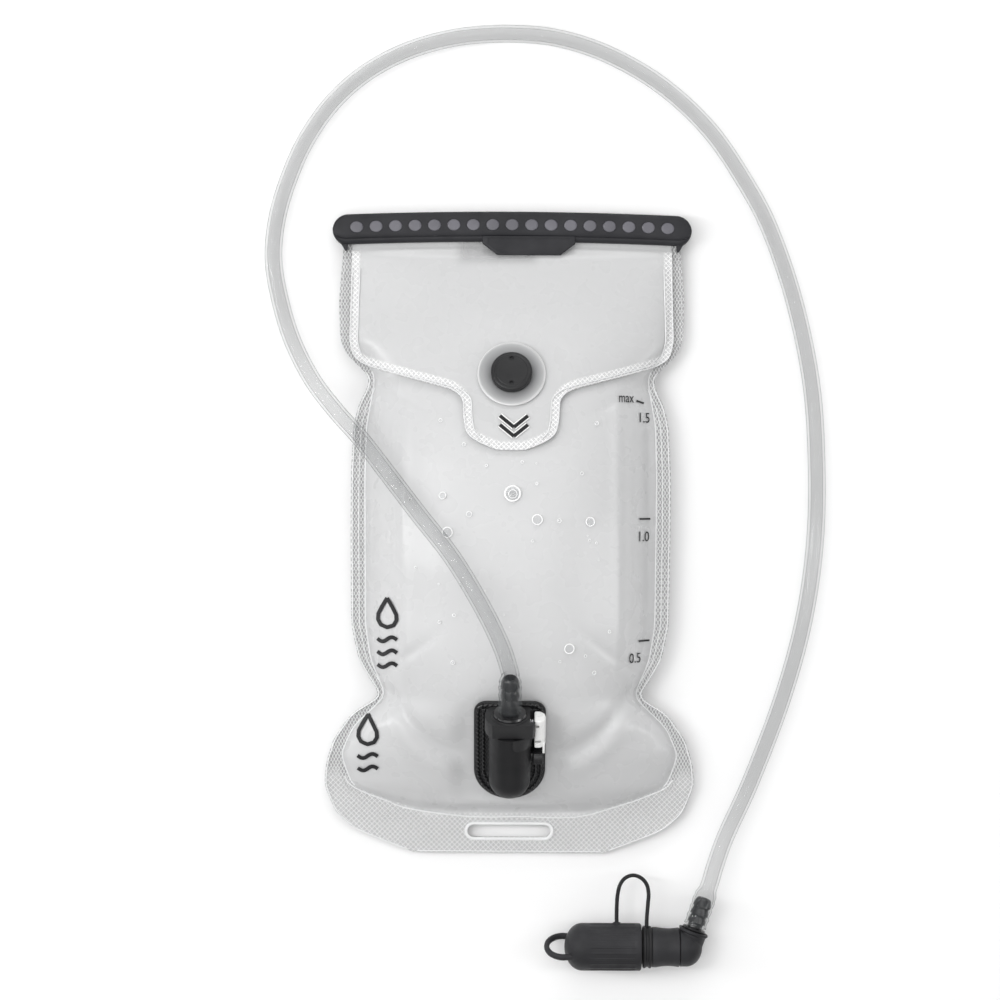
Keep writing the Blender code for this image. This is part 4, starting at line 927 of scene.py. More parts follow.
# ---- printed scale and drop mark ---------------------------------------------------------------------------
def text_on(name, words, x, y, height, surface, narrow=0.76):
    curve = bpy.data.curves.new(name, "FONT")
    curve.body = words
    curve.size = height
    curve.align_x = "CENTER"
    curve.align_y = "CENTER"
    curve.extrude = 0.02 * MM
    text = bpy.data.objects.new(name, curve)
    bpy.context.scene.collection.objects.link(text)
    graph = bpy.context.evaluated_depsgraph_get()
    mesh = bpy.data.meshes.new_from_object(text.evaluated_get(graph), depsgraph=graph)
    bpy.data.objects.remove(text, do_unlink=True)
    bm = bmesh.new()
    bm.from_mesh(mesh)
    bmesh.ops.remove_doubles(bm, verts=bm.verts, dist=0.001 * MM)
    bmesh.ops.triangulate(bm, faces=bm.faces)
    for _ in range(2):
        bmesh.ops.subdivide_edges(bm, edges=[e for e in bm.edges if e.calc_length() > 0.9 * MM], cuts=1)
    for v in bm.verts:
        level = v.co.z
        v.co.x = v.co.x * narrow + x
        v.co.y += y
        v.co.z = float(surface(v.co.x, v.co.y)) + 0.08 * MM + level
    bm.to_mesh(mesh)
    bm.free()
    made = link(name, mesh, INK)
    return finish_piece(made, "reservoir")


def printed_marks():
    def top(x, y):
        return front_z(x, y) + FILM

    for x, y, words in ((71.3, 61.7, "1.5"), (71.0, -2.0, "1.0"), (66.8, -66.8, "0.5")):
        text_on("scale_" + words.replace(".", "_"), words, x * MM, y * MM, 7.6 * MM, top)
    text_on("scale_max", "max", 61.3 * MM, 72.2 * MM, 7.8 * MM, top, 0.64)
    ticks = [[(67.0 * MM, 70.9 * MM), (71.2 * MM, 69.8 * MM)]]
    ticks += [[(68.7 * MM, y * MM), (75.0 * MM, y * MM)] for y in (7.7, -57.6)]
    print_on("scale_ticks", ticks, 1.0 * MM, top, 0.06 * MM, INK, "reservoir")
    drop = [(0.0, 9.0), (3.0, 4.2), (5.0, 0.4), (5.2, -2.6), (3.6, -5.3), (0.0, -6.6), (-3.6, -5.3),
            (-5.2, -2.6), (-5.0, 0.4), (-3.0, 4.2), (0.0, 9.0)]
    strokes = []
    for x, y, lines in ((-65.5, -44.0, 3), (-76.0, -107.0, 2)):
        strokes.append([(x * MM + a * MM, y * MM + b * MM) for a, b in drop])
        for k in range(lines):
            level = y - 13.0 - 7.0 * k
            strokes.append([(x * MM + a * MM, level * MM + 1.3 * MM * math.sin(a / 5.5 * math.pi))
                            for a in np.linspace(-5.5, 5.5, 15)])
    print_on("drop_mark", strokes, 2.1 * MM, top, 0.06 * MM, INK, "reservoir")


def droplets():
    """Water drops and bubbles on the film: flattened domes with a thin foot, each ringed by a white torus
    that is a painted highlight along the drop's edge.
    """
    spots = [(0.8, 20.8, 4.0), (0.9, 20.6, 2.2), (13.8, 7.2, 2.6), (25.4, 6.7, 1.0), (41.7, 6.2, 2.3),
             (-36.0, 19.6, 1.8), (-22.0, 9.9, 1.4), (-33.4, 0.2, 2.7), (31.0, -60.6, 2.5),
             (-25.0, 46.6, 0.9), (-37.5, 59.4, 0.9), (-30.2, -68.2, 1.0), (39.6, -64.5, 0.7),
             (44.3, -73.5, 1.0), (45.1, 58.3, 1.0), (52.2, -51.7, 0.8)]
    for _ in range(30):
        spots.append((rng.uniform(-54, 54), rng.uniform(-78, 38), rng.uniform(0.3, 0.85)))
    domes = bmesh.new()
    rings = bmesh.new()
    for x, y, r in spots:
        if abs(x) < 20 and y < -60:
            continue
        x, y, r = x * MM, y * MM, r * MM
        z = float(front_z(x, y)) + FILM - 0.05 * MM
        dx = float(front_z(x + MM, y) - front_z(x - MM, y)) / (2 * MM)
        dy = float(front_z(x, y + MM) - front_z(x, y - MM)) / (2 * MM)
        place = along((-dx, -dy, 1), Vector((x, y, z)))
        dome = revolve([(0, 0.42 * r), (0.30 * r, 0.40 * r), (0.58 * r, 0.33 * r), (0.80 * r, 0.21 * r),
                        (0.94 * r, 0.08 * r), (r, 0.0), (0.9 * r, -0.03 * r), (0, -0.03 * r)], 20)
        # white ring at the foot of each drop: a painted highlight, not part of the water
        wire = 0.10 * r + 0.05 * MM
        ring = revolve([(r + wire * math.cos(b), wire + wire * math.sin(b))
                        for b in np.linspace(0, 2 * math.pi, 8, endpoint=False)], 28)
        for part, into in ((dome, domes), (ring, rings)):
            part.transform(place)
            mesh = bpy.data.meshes.new("drop")
            part.to_mesh(mesh)
            part.free()
            into.from_mesh(mesh)
            bpy.data.meshes.remove(mesh)
    finish_piece(from_bmesh("water_drops", domes, DROPLET), "reservoir")
    finish_piece(from_bmesh("water_drop_edges", rings, DROP_RIM_HIGHLIGHT), "reservoir")


# ---- rails -------------------------------------------------------------------------------------------------
def rail_middle(x):
    return RAIL_END_Y + RAIL_BOW * (1 - (x / RAIL_HALF_LENGTH) ** 2)


def rail_bar(name, low, high, look, lip, facing):
    """A bowed bar with full round ends: crowned face, soft edges and a pressed lip along one side."""
    r = RAIL_HEIGHT / 2
    inner = RAIL_HALF_LENGTH - r
    end = inner + r * np.sin(np.linspace(0.02, 1, 12) * math.pi / 2 * 0.985)
    xs = np.concatenate([-end[::-1], np.linspace(-inner, inner, 90), end])
    thick = high - low
    face = [(-1.0, 0.25), (-0.985, 0.55), (-0.93, 0.70), (-0.80, 0.80), (-0.70, 0.83), (-0.64, 0.80),
            (-0.60, 0.90), (-0.54, 0.96), (-0.30, 0.99), (0.30, 1.0), (0.72, 0.99), (0.86, 0.94),
            (0.95, 0.82), (1.0, 0.60)]
    if not lip:
        face = [(-1.0, 0.30), (-0.97, 0.7), (-0.90, 0.92), (-0.78, 1.0), (0.78, 1.0), (0.90, 0.92),
                (0.97, 0.7), (1.0, 0.30)]
    ring = face + [(0.98, 0.12), (0.92, 0.0), (-0.92, 0.0), (-0.98, 0.10)]
    bm = bmesh.new()
    loops = []
    for x in xs:
        h = r if abs(x) <= inner else math.sqrt(max(r * r - (abs(x) - inner) ** 2, 1e-10))
        squeeze = min(1.0, 0.55 + 0.45 * h / r)
        loop = []
        for v, w in ring:
            z = low + thick * (0.5 + (w - 0.5) * squeeze if abs(x) > inner else w)
            if facing < 0:
                z = low + high - z
            loop.append(bm.verts.new((x, rail_middle(x) + v * h, z)))
        loops.append(loop)
    for here, there in zip(loops, loops[1:]):
        for j in range(len(ring)):
            n = (j + 1) % len(ring)
            bm.faces.new((here[j], here[n], there[n], there[j]))
    bm.faces.new(loops[0][::-1])
    bm.faces.new(loops[-1])
    return from_bmesh(name, bm, look, angle=50)


def tab(name, offset, extra, low, high, look):
    """Trapezoid pull tab with a raised rim and rounded corners."""
    top = rail_middle(0) - RAIL_HEIGHT / 2 + 3.0 * MM
    end = rail_middle(0) - RAIL_HEIGHT / 2 - 7.3 * MM - extra
    wide, narrow = 25.0 * MM, 16.5 * MM
    corner = 2.4 * MM
    outline = [(offset - wide, top), (offset - wide, top - 4.2 * MM)]
    outline += arc(offset - narrow + 0.2 * MM, end + corner, corner, 215, 270, 6)
    outline += arc(offset + narrow - 0.2 * MM, end + corner, corner, 270, 325, 6)
    outline += [(offset + wide, top - 4.2 * MM), (offset + wide, top)]
    made = rounded(from_bmesh(name, prism(outline, low, high), look), 0.5 * MM)
    centre = ((top + end) / 2)
    inset = [((x - offset) * 0.88 + offset, (y - centre) * 0.80 + centre) for x, y in outline]
    boolean(made, from_bmesh("tab_tool", prism(inset, high - 0.45 * MM, high + 1 * MM), look))
    return made


def magnet_place(number, z):
    """Frame of one magnet, a little flattened along Y, numbered from 0 at the left."""
    x = (number - (MAGNET_COUNT - 1) / 2) * MAGNET_PITCH
    return Matrix.Translation((x, rail_middle(x) + 0.9 * MM, z)) @ Matrix.Diagonal((1, 0.87, 1, 1))


def rails():
    low = RAIL_MIDDLE_Z + 1.6 * MM
    high = low + 5.6 * MM
    front = rail_bar("front_rail_bar", low, high, RAIL, True, 1)
    pockets = bmesh.new()
    for k in range(MAGNET_COUNT):
        bmesh.ops.create_cone(pockets, cap_ends=True, segments=40, radius1=3.62 * MM, radius2=3.62 * MM,
                              depth=1.3 * MM, matrix=magnet_place(k, high))
    boolean(front, from_bmesh("pocket_tool", pockets, RAIL))
    for side in (-1, 1):
        heel = [(side * x * MM, y * MM) for x, y in ((94.0, 158.5), (90.2, 151.6), (88.8, 151.4),
                                                     (88.4, 158.5))]
        boolean(front, from_bmesh("heel", prism(heel, low + 0.4 * MM, low + 3.0 * MM), RAIL), "UNION")
    finish_piece(front, "mouth", ["front_rail"])
    finish_piece(tab("front_pull_tab", 9.0 * MM, 0.0, high - 2.4 * MM, high - 0.1 * MM, RAIL), "mouth")
    for k in range(MAGNET_COUNT):
        r = 3.55 * MM
        profile = [(0, 0), (r, 0), (r, 0.35 * MM), (r - 0.25 * MM, 0.55 * MM), (r - 1.2 * MM, 0.62 * MM),
                   (0, 0.60 * MM)]
        place = magnet_place(k, high - 0.72 * MM)
        made = from_bmesh(f"rail_magnet_{k + 1:02d}", revolve(profile, 40), MAGNET, place)
        finish_piece(made, "mouth", [f"front_magnet_{k + 1:02d}"])
    back = rail_bar("back_rail_bar", 0.0, RAIL_MIDDLE_Z - 1.6 * MM, RAIL_BACK, False, -1)
    finish_piece(back, "reservoir", ["back_rail", "back_magnet_strip"])
    back_tab = tab("back_pull_tab", -9.0 * MM, 3.0 * MM, 1.0 * MM, 2.9 * MM, RAIL_BACK)
    finish_piece(back_tab, "reservoir")


# ---- snap --------------------------------------------------------------------------------------------------
def snap_frame():
    z = SNAP_SEAT_Z + FRAME_FILM / math.cos(SNAP_SLOPE)
    return Matrix.Translation((0, SNAP_Y, z)) @ Matrix.Rotation(-SNAP_SLOPE, 4, "X")


def snap():
    place = snap_frame()
    m = MM
    ring = mm((10.3, 3.0), (17.8, 3.0), (18.1, 3.2), (18.0, 3.65), (17.3, 3.95), (16.6, 3.75),
              (15.4, 3.65), (12.4, 3.75), (11.7, 4.0), (10.9, 4.05), (10.3, 3.8))
    made = from_bmesh("snap_flange_ring", revolve(ring, 96), SNAP_RING)
    mark(made, "near", lambda x, y: (16.9 * m - np.hypot(x, y)) / (5.5 * m))
    # band where the ring's painted highlight goes
    mark(made, "rim", lambda x, y: (np.hypot(x, y) - 17.15 * m) / (0.4 * m))
    made.data.transform(place)
    finish_piece(made, "snap", ["snap_flange"])
    r = 10.9 * m
    cap = [(0, 8.15 * m), (8.2 * m, 8.15 * m), (8.5 * m, 8.0 * m), (8.9 * m, 8.0 * m),
           (9.2 * m, 8.12 * m), (9.9 * m, 8.1 * m), (10.5 * m, 7.85 * m), (r, 7.3 * m), (r, 4.2 * m),
           (9.9 * m, 4.1 * m), (9.9 * m, 5.6 * m), (3.6 * m, 5.6 * m), (3.6 * m, 3.6 * m),
           (2.6 * m, 3.6 * m), (2.6 * m, 5.4 * m), (0, 5.4 * m)]
    made = from_bmesh("snap_button", revolve(cap, 96), BLACK, place)
    holes = bmesh.new()
    for y in (-7.0 * m, 7.0 * m):
        bmesh.ops.create_cone(holes, cap_ends=True, segments=24, radius1=1.25 * m, radius2=1.25 * m,
                              depth=2.6 * m,
                              matrix=Matrix.Translation((0, y, 8.4 * m)))
    boolean(made, from_bmesh("hole_tool", holes, BLACK, place))
    made.data.set_sharp_from_angle(angle=math.radians(15))
    finish_piece(made, "snap", ["snap_cap"])
    base = mm((0, 0.3), (16.2, 0.3), (16.5, 0.6), (16.2, 0.9), (0, 0.9))
    made = from_bmesh("snap_base_ring", revolve(base, 72), BEAD, place)
    finish_piece(made, "reservoir", ["snap_base_flange"])


# ---- port --------------------------------------------------------------------------------------------------
def port_frame():
    return Matrix.Translation((0, PORT_Y, PORT_Z)) @ Matrix.Rotation(PORT_SLOPE, 4, "X")


def port_axis():
    return port_frame() @ Matrix.Translation((0, 0, HOUSING_AXIS)) @ Matrix.Rotation(-math.pi / 2, 4, "X")


def plate_path(half_width, high, low, corner, steps=10):
    top = high - corner
    low = low - half_width
    points = arc(half_width - corner, top, corner, 0, 90, steps)
    points += arc(-half_width + corner, top, corner, 90, 180, steps)
    points += arc(0, -low, half_width, 180, 360, steps * 4)
    return points


def port_plate():
    """Weld plate with two rope-like ribs around it."""
    place = port_frame()
    base = from_bmesh("port_plate", prism(plate_path(19.0 * MM, 31.8 * MM, 29.6 * MM, 6.5 * MM), 0.3 * MM,
                                          1.7 * MM), BLACK, place)
    finish_piece(rounded(base, 0.45 * MM), "reservoir", ["port_flange"])
    for number, (inset, radius) in enumerate(((1.9, 1.15), (4.9, 1.15), (7.9, 1.1))):
        outline = plate_path((19.0 - inset) * MM, (31.8 - inset) * MM, (29.6 - inset) * MM,
                             max(6.5 - inset, 1.4) * MM)
        outline = np.array([(x, y, 1.55 * MM) for x, y in outline + outline[:1]])
        path, length = catmull(outline, 0.55 * MM)
        turns = round(length / (2.6 * MM))
        count = len(path) - 1

        def rope(k, b, radius=radius, turns=turns, count=count):
            r = radius * MM * (1 + 0.30 * math.cos(2 * b + 2 * math.pi * turns * k / count))
            return r, r

        made = from_bmesh(f"plate_rope_{number + 1}", sweep(path[:-1], 0, 14, True, rope), GLOSS, place,
                          angle=70)
        finish_piece(made, "reservoir")


def cut_below_plate(made):
    """Cut away what would reach into the weld plate."""
    below = mm((-20, -50), (20, -50), (20, 50), (-20, 50))
    boolean(made, from_bmesh("under_tool", prism(below, -30 * MM, 2.4 * MM), BLACK, port_frame()))


def port_housing():
    m = MM
    r = 11.0 * m
    nose = [(0.0, -20.6 * m)]
    for k in range(1, 13):
        a = math.pi / 2 * k / 12
        nose.append((r * math.sin(a), -20.6 * m + r * (1 - math.cos(a))))
    profile = nose + [(r, 19.8 * m), (r + 0.5 * m, 20.2 * m), (r + 0.5 * m, 20.9 * m), (6.5 * m, 20.9 * m),
                      (6.5 * m, 1.0 * m), (0, 1.0 * m)]
    made = from_bmesh("port_bullet", revolve(profile, 72), SHELL, port_axis())
    cut_below_plate(made)
    finish_piece(made, "reservoir", ["port_housing", "poppet_spring"])
    tongue = from_bmesh("latch_tongue", revolve([(0, 13 * m), (r + 1.0 * m, 13 * m),
                                                 (r + 1.0 * m, 20.9 * m), (0, 20.9 * m)], 72),
                        BLACK, port_axis())
    outline = [(1.5 * m, 22 * m), (1.5 * m, 17 * m)] + arc(4.5 * m, 17.0 * m, 3.0 * m, 180, 270, 6)
    outline += arc(9.5 * m, 17.0 * m, 3.0 * m, 270, 360, 6) + [(12.5 * m, 22 * m)]
    boolean(tongue, from_bmesh("tongue_tool", prism(outline, 14 * m, 30 * m), BLACK, port_frame()),
            "INTERSECT")
    finish_piece(rounded(tongue, 0.25 * m), "reservoir")
    block = mm((12.4, 1.0), (17.6, 1.0), (17.6, 7.6), (12.4, 7.6))
    made = from_bmesh("latch_block", prism(block, 5.0 * m, 14.5 * m), GLOSS, port_frame())
    foot = from_bmesh("block_foot", prism(mm((9.5, 2.0), (13.0, 2.0), (13.0, 6.6), (9.5, 6.6)),
                                          6.0 * m, 12.0 * m), GLOSS, port_frame())
    boolean(made, foot, "UNION")
    finish_piece(rounded(made, 0.4 * m), "reservoir")


def plug():
    m = MM
    r = 13.2 * m
    flat = -9.6 * m
    a = math.degrees(math.asin(-flat / r))
    outline = [(r * 0.90, flat), (r, flat + 2.4 * m)] + arc(0, 0, r, 0, 180 + a, 48)

    def cut(made):
        cut_below_plate(made)
        seat = mm((10.6, -5.6), (30, -5.6), (30, 5.6), (10.6, 5.6))
        boolean(made, from_bmesh("seat_tool", prism(seat, 0, 50 * m), BLACK, port_axis()))

    head = from_bmesh("plug_block", prism(outline, 21.25 * m, HEAD_FRONT), BLACK, port_axis())
    cut(head)
    well = port_axis() @ Matrix.Translation((0, 0, 25.4 * m)) @ Matrix.Rotation(math.pi / 2, 4, "Y")
    tool = revolve(mm((0, 8.0), (2.2, 8.0), (2.2, 20), (0, 20)), 24)
    rounded(head, 0.55 * m)
    boolean(head, from_bmesh("well_tool", tool, BLACK, well))
    finish_piece(head, "hose", ["plug_head"])
    nose = mm((3.0, 3.0), (5.1, 3.0), (6.1, 4.6), (6.1, 8.0), (4.9, 8.0), (4.9, 10.8), (6.1, 10.8),
              (6.1, 21.3), (3.0, 21.3))
    finish_piece(from_bmesh("plug_nose", revolve(nose, 64), BLACK, port_axis()), "hose")
    collar = [(5.3 * m, HEAD_FRONT - 0.3 * m), (9.9 * m, HEAD_FRONT - 0.3 * m),
              (9.9 * m, HEAD_FRONT + 0.25 * m), (9.3 * m, HEAD_FRONT + 0.75 * m),
              (5.3 * m, HEAD_FRONT + 0.75 * m)]
    made = from_bmesh("swivel_collar", revolve(collar, 72), BLACK, port_axis())
    finish_piece(made, "hose")


def button():
    m = MM
    outline = mm((12.9, -5.2), (16.0, -5.2), (18.3, -3.2), (18.9, 0), (18.3, 3.2), (16.0, 5.2), (12.9, 5.2))
    made = from_bmesh("release_clip", prism(outline, 12.6 * m, HEAD_FRONT - 0.2 * m), WHITE, port_axis())
    rounded(made, 0.9 * m, 4)
    leg = mm((17.2, -4.4), (18.4, -4.4), (18.4, 3.0), (17.2, 3.0))
    leg = rounded(from_bmesh("clip_leg", prism(leg, 8.8 * m, 15.0 * m), WHITE, port_axis()), 0.4 * m)
    boolean(made, leg, "UNION")
    slots = bmesh.new()
    for z, end in ((16.6 * m, 16.4 * m), (26.0 * m, 15.4 * m)):
        bmesh.ops.create_cube(slots, size=1.0, matrix=Matrix.Translation((end / 2 + 5.5 * m, 0.0, z))
                              @ Matrix.Diagonal((end - 11.0 * m, 16.0 * m, 1.6 * m, 1.0)))
    tool = rounded(from_bmesh("slot_cut", slots, INK, port_axis()), 0.5 * m)
    boolean(made, tool)
    finish_piece(made, "button", ["release_button"])


def tail_profile(start, tip, root, teeth, tooth, bore):
    points = [(bore, start), (root, start)]
    pitch = (tip - start) * 0.82 / teeth
    z = start + (tip - start) * 0.12
    for _ in range(teeth):
        points += [(root, z), (root + 0.2 * MM, z + 0.03 * pitch), (tooth - 0.1 * MM, z + 0.14 * pitch),
                   (tooth, z + 0.20 * pitch), (tooth - 0.12 * MM, z + 0.30 * pitch),
                   (root + 0.25 * MM, z + 0.95 * pitch)]
        z += pitch
    points += [(root - 0.2 * MM, tip - 0.5 * MM), (root - 0.7 * MM, tip), (bore, tip)]
    return points


def barbs():
    m = MM
    base = HEAD_FRONT - 2.7 * m
    start = [(2.9 * m, base), (4.9 * m, base), (4.9 * m, HEAD_FRONT + 0.8 * m),
             (8.7 * m, HEAD_FRONT + 0.8 * m), (8.8 * m, HEAD_FRONT + 1.2 * m),
             (8.3 * m, HEAD_FRONT + 2.2 * m), (6.0 * m, HEAD_FRONT + 3.0 * m)]
    tail = tail_profile(HEAD_FRONT + 3.0 * m, BARB_TIP, 4.0 * m, 3, 5.0 * m, 2.9 * m)
    made = from_bmesh("hose_tail", revolve(start + tail[1:], 48), GLOSS, port_axis())
    finish_piece(made, "hose", ["hose_barb"])
    start = mm((2.4, 5.3), (4.6, 5.3), (4.6, 9.9), (6.3, 9.9), (6.4, 10.3), (6.0, 11.2), (4.0, 11.6))
    tail = tail_profile(11.6 * m, 28.0 * m, 4.0 * m, 3, 5.0 * m, 2.4 * m)
    made = from_bmesh("valve_tail", revolve(start + tail[1:], 48), GLOSS, valve_barb_frame())
    finish_piece(made, "hose", ["valve_barb"])


# ---- hose --------------------------------------------------------------------------------------------------
def valve_barb_frame():
    origin = Vector((VALVE_BARB_X, VALVE_Y, VALVE_Z))
    return along((math.sin(VALVE_BARB_LEAN), math.cos(VALVE_BARB_LEAN), 0.0), origin)


def drink_hose():
    start = port_axis()
    end = valve_barb_frame()
    sleeve = HEAD_FRONT + 3.4 * MM
    points = [start @ Vector((0, 0, z)) for z in (sleeve, 43 * MM, BARB_TIP + 0.3 * MM, BARB_TIP + 2.5 * MM)]
    points += [Vector(p) * MM for p in ROUTE]
    points += [end @ Vector((0, 0, z)) for z in (38 * MM, 28.3 * MM, 20 * MM, 12.4 * MM)]
    path, length = catmull(points, 1.6 * MM)
    steps = len(path)
    s = np.linspace(0, length, steps)
    reach = np.minimum(s, length - s)
    swell = eased((21.5 * MM - reach) / (5 * MM))
    teeth = 0.28 * MM * np.cos(reach / (4.6 * MM) * 2 * math.pi)
    outer = HOSE_RADIUS + swell * (1.25 * MM + teeth)
    inner = 3.25 * MM + swell * (1.85 * MM + teeth * 0.5)
    bm = bmesh.new()
    sides = 28
    walls = []
    for radii in (outer, inner):
        loops = []
        for k, (p, normal, side) in enumerate(frames(path)):
            loop = []
            for j in range(sides):
                b = 2 * math.pi * j / sides
                radial = math.cos(b) * normal + math.sin(b) * side
                loop.append(bm.verts.new(p + float(radii[k]) * radial))
            loops.append(loop)
        walls.append(loops)
        for here, there in zip(loops, loops[1:]):
            for j in range(sides):
                n = (j + 1) % sides
                bm.faces.new((here[j], here[n], there[n], there[j]))
    for k in (0, -1):
        for j in range(sides):
            n = (j + 1) % sides
            bm.faces.new((walls[0][k][j], walls[0][k][n], walls[1][k][n], walls[1][k][j]))
    made = from_bmesh("clear_hose", bm, HOSE, angle=60)
    finish_piece(made, "hose", ["drink_hose"])


# ---- bite valve --------------------------------------------------------------------------------------------
def valve_axis():
    return along((1, 0, 0), Vector((0, VALVE_Y, VALVE_Z)))


def elbow():
    m = MM
    r = 10.3 * m
    left = 92.25 * m
    right = 104.4 * m
    profile = [(0, left), (r - 0.35 * m, left), (r, left + 0.35 * m)]
    for k in range(0, 15):
        a = math.pi / 2 * k / 14
        profile.append((r * math.cos(a), right - r * 0.85 + r * 0.85 * math.sin(a)))
    profile[-1] = (0, right)
    made = from_bmesh("valve_elbow_shell", revolve(profile, 72), MATT, valve_axis())
    neck = revolve(mm((0, 0), (7.4, 0), (7.5, 7.6), (8.3, 8.4), (8.3, 9.3), (7.9, 9.7), (6.9, 9.7),
                      (6.6, 9.0), (5.0, 9.0), (5.0, 6), (0, 6)), 64)
    boolean(made, from_bmesh("neck_shape", neck, MATT, valve_barb_frame()), "UNION")
    beyond = [(60 * m, VALVE_Y - 20 * m), (left, VALVE_Y - 20 * m), (left, VALVE_Y + 20 * m),
              (60 * m, VALVE_Y + 20 * m)]
    boolean(made, from_bmesh("end_tool", prism(beyond, -20 * m, 50 * m), MATT))
    spigot = revolve([(2.8 * m, left - 9 * m), (4.8 * m, left - 9 * m), (5.0 * m, left - 8.8 * m),
                      (5.0 * m, left - 6.0 * m), (4.1 * m, left - 6.0 * m), (4.1 * m, left - 3.8 * m),
                      (5.0 * m, left - 3.8 * m), (5.0 * m, left + 1 * m), (2.8 * m, left + 1 * m)], 48)
    boolean(made, from_bmesh("spigot_shape", spigot, MATT, valve_axis()), "UNION")
    finish_piece(made, "hose", ["valve_elbow"])


def valve_body():
    m = MM
    r = 10.6 * m
    left = 71.4 * m
    right = 91.95 * m
    waist = [(r - 0.35 * m, right), (r - 0.05 * m, right - 0.35 * m)]
    for k in range(1, 10):
        t = k / 10
        waist.append((r - 0.55 * m * math.sin(math.pi * t), right - 0.35 * m - t * 11.4 * m))
    profile = [(5.6 * m, right)] + waist + [
        (r + 0.15 * m, 79.6 * m), (r + 0.15 * m, 77.6 * m), (r - 0.1 * m, 77.2 * m),
        (r - 1.2 * m, 77.2 * m), (r - 1.2 * m, left + 0.6 * m), (6.6 * m, left + 0.5 * m),
        (6.6 * m, left - 3.0 * m), (7.2 * m, left - 4.2 * m), (6.2 * m, left - 6.0 * m),
        (6.2 * m, left - 9.0 * m), (3.2 * m, left - 9.0 * m), (3.2 * m, left + 6.0 * m),
        (5.6 * m, left + 9.5 * m),
    ]
    made = from_bmesh("valve_body_shell", revolve(profile, 72), MATT, valve_axis())
    finish_piece(made, "bite_valve", ["valve_body"])
    soft = [(8.4 * m, left), (8.8 * m, left - 1.5 * m), (8.8 * m, left - 3.0 * m),
            (8.5 * m, left - 6 * m), (8.1 * m, left - 9.0 * m), (7.5 * m, left - 13 * m),
            (7.1 * m, left - 18 * m), (6.9 * m, left - 23 * m), (6.3 * m, left - 27 * m),
            (5.2 * m, left - 29.3 * m), (3.6 * m, left - 30 * m), (1.2 * m, left - 30 * m),
            (1.2 * m, left - 28.2 * m), (4.2 * m, left - 27.4 * m), (4.9 * m, left - 18 * m),
            (6.5 * m, left - 9.4 * m), (6.5 * m, left - 6.2 * m), (7.5 * m, left - 4.4 * m),
            (6.9 * m, left - 2.8 * m), (6.9 * m, left)]

    def oval(a, radius, z):
        t = min(max((left - 8 * m - z) / (14 * m), 0), 1)
        return radius * (1 - 0.10 * t * (1 - math.cos(2 * a)) / 2)

    made = from_bmesh("mouthpiece_soft", revolve(soft, 64, oval), SILICONE, valve_axis())
    finish_piece(made, "bite_valve", ["bite_mouthpiece"])


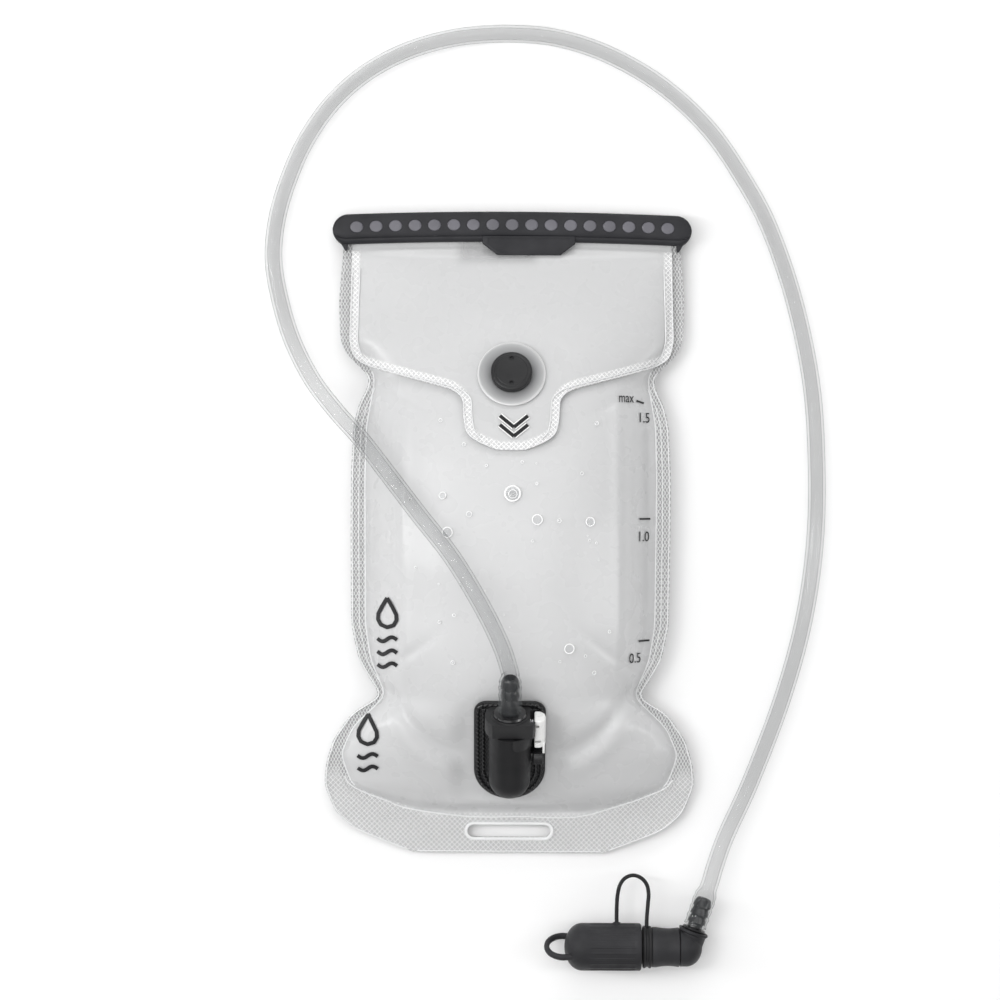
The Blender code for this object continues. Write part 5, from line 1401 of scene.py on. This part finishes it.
def dust_cap():
    """Ribbed dome: long flats between raised ribs, a rolled rim, and a D-shaped pull ring across its end."""
    m = MM
    r = 12.7 * m
    left, right = 30.1 * m, 71.4 * m
    inner = r - 1.8 * m
    profile = [(0, left)]
    for k in range(1, 15):
        a = math.pi / 2 * k / 14
        profile.append((r * math.sin(a), left + 9.5 * m * (1 - math.cos(a))))
    profile += [(r, z * m) for z in (43.0, 43.8, 44.6, 50, 56, 62, 66, 67.2, 67.8, 68.4)]
    profile += [(r, right - 1.2 * m), (r - 0.15 * m, right - 0.5 * m), (r - 0.7 * m, right), (inner, right),
                (inner, left + 8.5 * m), (inner - 4 * m, left + 3.5 * m), (0, left + 2.2 * m)]

    def ribs(a, radius, z):
        if radius < r - 0.05 * m or z > 68.0 * m:
            return radius
        t = min(max((z - 43.2 * m) / (1.4 * m), 0), 1)
        wave = abs(((a / math.pi * 180 + 7.5) % 30) - 15)
        groove = min(max((wave - 1.2) / 1.2, 0), 1) * min(max((13.2 - wave) / 1.2, 0), 1)
        return radius - 0.26 * m * t * groove

    made = from_bmesh("dust_cap_shell", revolve(profile, 240, ribs), MATT, valve_axis(), angle=30)
    tilt = Matrix.Rotation(-math.radians(60.0), 4, "X")
    place = Matrix.Translation((left - 0.5 * m, VALVE_Y, VALVE_Z)) @ tilt
    loop = arc(0, 0, 9.0 * m, 80, 280, 36)
    points = [(11.5 * m, 8.6 * m, 0), (6.0 * m, 9.0 * m, 0)] + [(x, y, 0) for x, y in loop]
    points += [(6.0 * m, -9.0 * m, 0), (11.5 * m, -8.6 * m, 0)]
    path, _ = catmull(points, 0.8 * m)
    ring = from_bmesh("cap_pull_ring", sweep(path, 0, 16, False, lambda k, b: (1.45 * m, 1.9 * m)), MATT,
                      place)
    core = revolve([(0, left + 2.4 * m), (inner - 4 * m, left + 3.6 * m), (inner, left + 8.5 * m),
                    (inner, right + 5 * m), (0, right + 5 * m)], 72)
    boolean(ring, from_bmesh("core_tool", core, MATT, valve_axis()))
    finish_piece(ring, "cap")
    finish_piece(made, "cap", ["dust_cap"])
    lug = revolve(mm((0, 0), (2.6, 0), (2.2, 0.8), (1.4, 1.3), (0, 1.4)), 32)
    place = along((0, 1, 0), Vector((58.3 * m, VALVE_Y + 12.2 * m, VALVE_Z)))
    finish_piece(from_bmesh("tether_lug", lug, MATT, place), "cap")


def tether():
    m = MM
    r = 9.7 * m
    left, right = 72.3 * m, 76.9 * m
    out = 11.3 * m
    groove = (left + right) / 2
    profile = [(r, left), (out - 0.5 * m, left), (out, left + 0.4 * m), (out, left + 1.2 * m),
               (out - 0.7 * m, groove - 0.4 * m), (out - 0.7 * m, groove + 0.4 * m),
               (out, right - 1.2 * m), (out, right - 0.4 * m), (out - 0.5 * m, right), (r, right)]
    made = from_bmesh("cap_strap", revolve(profile, 72), SILICONE, valve_axis())
    points = [(74.4, 10.4), (74.4, 12.0), (74.6, 17.0), (75.1, 23.5), (75.4, 29.0), (74.2, 34.0),
              (71.0, 37.4), (66.8, 38.6), (62.6, 37.0), (59.9, 33.2), (58.7, 28.0), (58.3, 22.0),
              (58.2, 16.5), (58.3, 12.9)]
    path, _ = catmull([(x * m, VALVE_Y + y * m, VALVE_Z) for x, y in points], 0.8 * m)
    strap = from_bmesh("strap_shape", sweep(path, 0, 16, False, lambda k, b: (1.05 * m, 1.35 * m)), SILICONE)
    boolean(made, strap, "UNION")
    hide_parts("cap_tether")
    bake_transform(made)


# ---- CAD nodes that stay -----------------------------------------------------------------------------------
def repaint():
    looks = {"shutoff_poppet": WHITE, "plug_seal": RUBBER, "valve_seal": RUBBER, "release_spring": STEEL,
             "snap_base": GLOSS, "snap_magnet": MAGNET, "snap_base_magnet": MAGNET, "poppet_spring": STEEL}
    for name, look in looks.items():
        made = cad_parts[name]
        if not made.material_slots:
            made.data.materials.append(look)
        for place in made.material_slots:
            place.material = look


camera()
studio()
elbow()
barbs()
valve_body()
dust_cap()
tether()
drink_hose()
film_shells()
weld_beads()
flap()
printed_marks()
droplets()
rails()
snap()
port_plate()
port_housing()
plug()
button()
repaint()
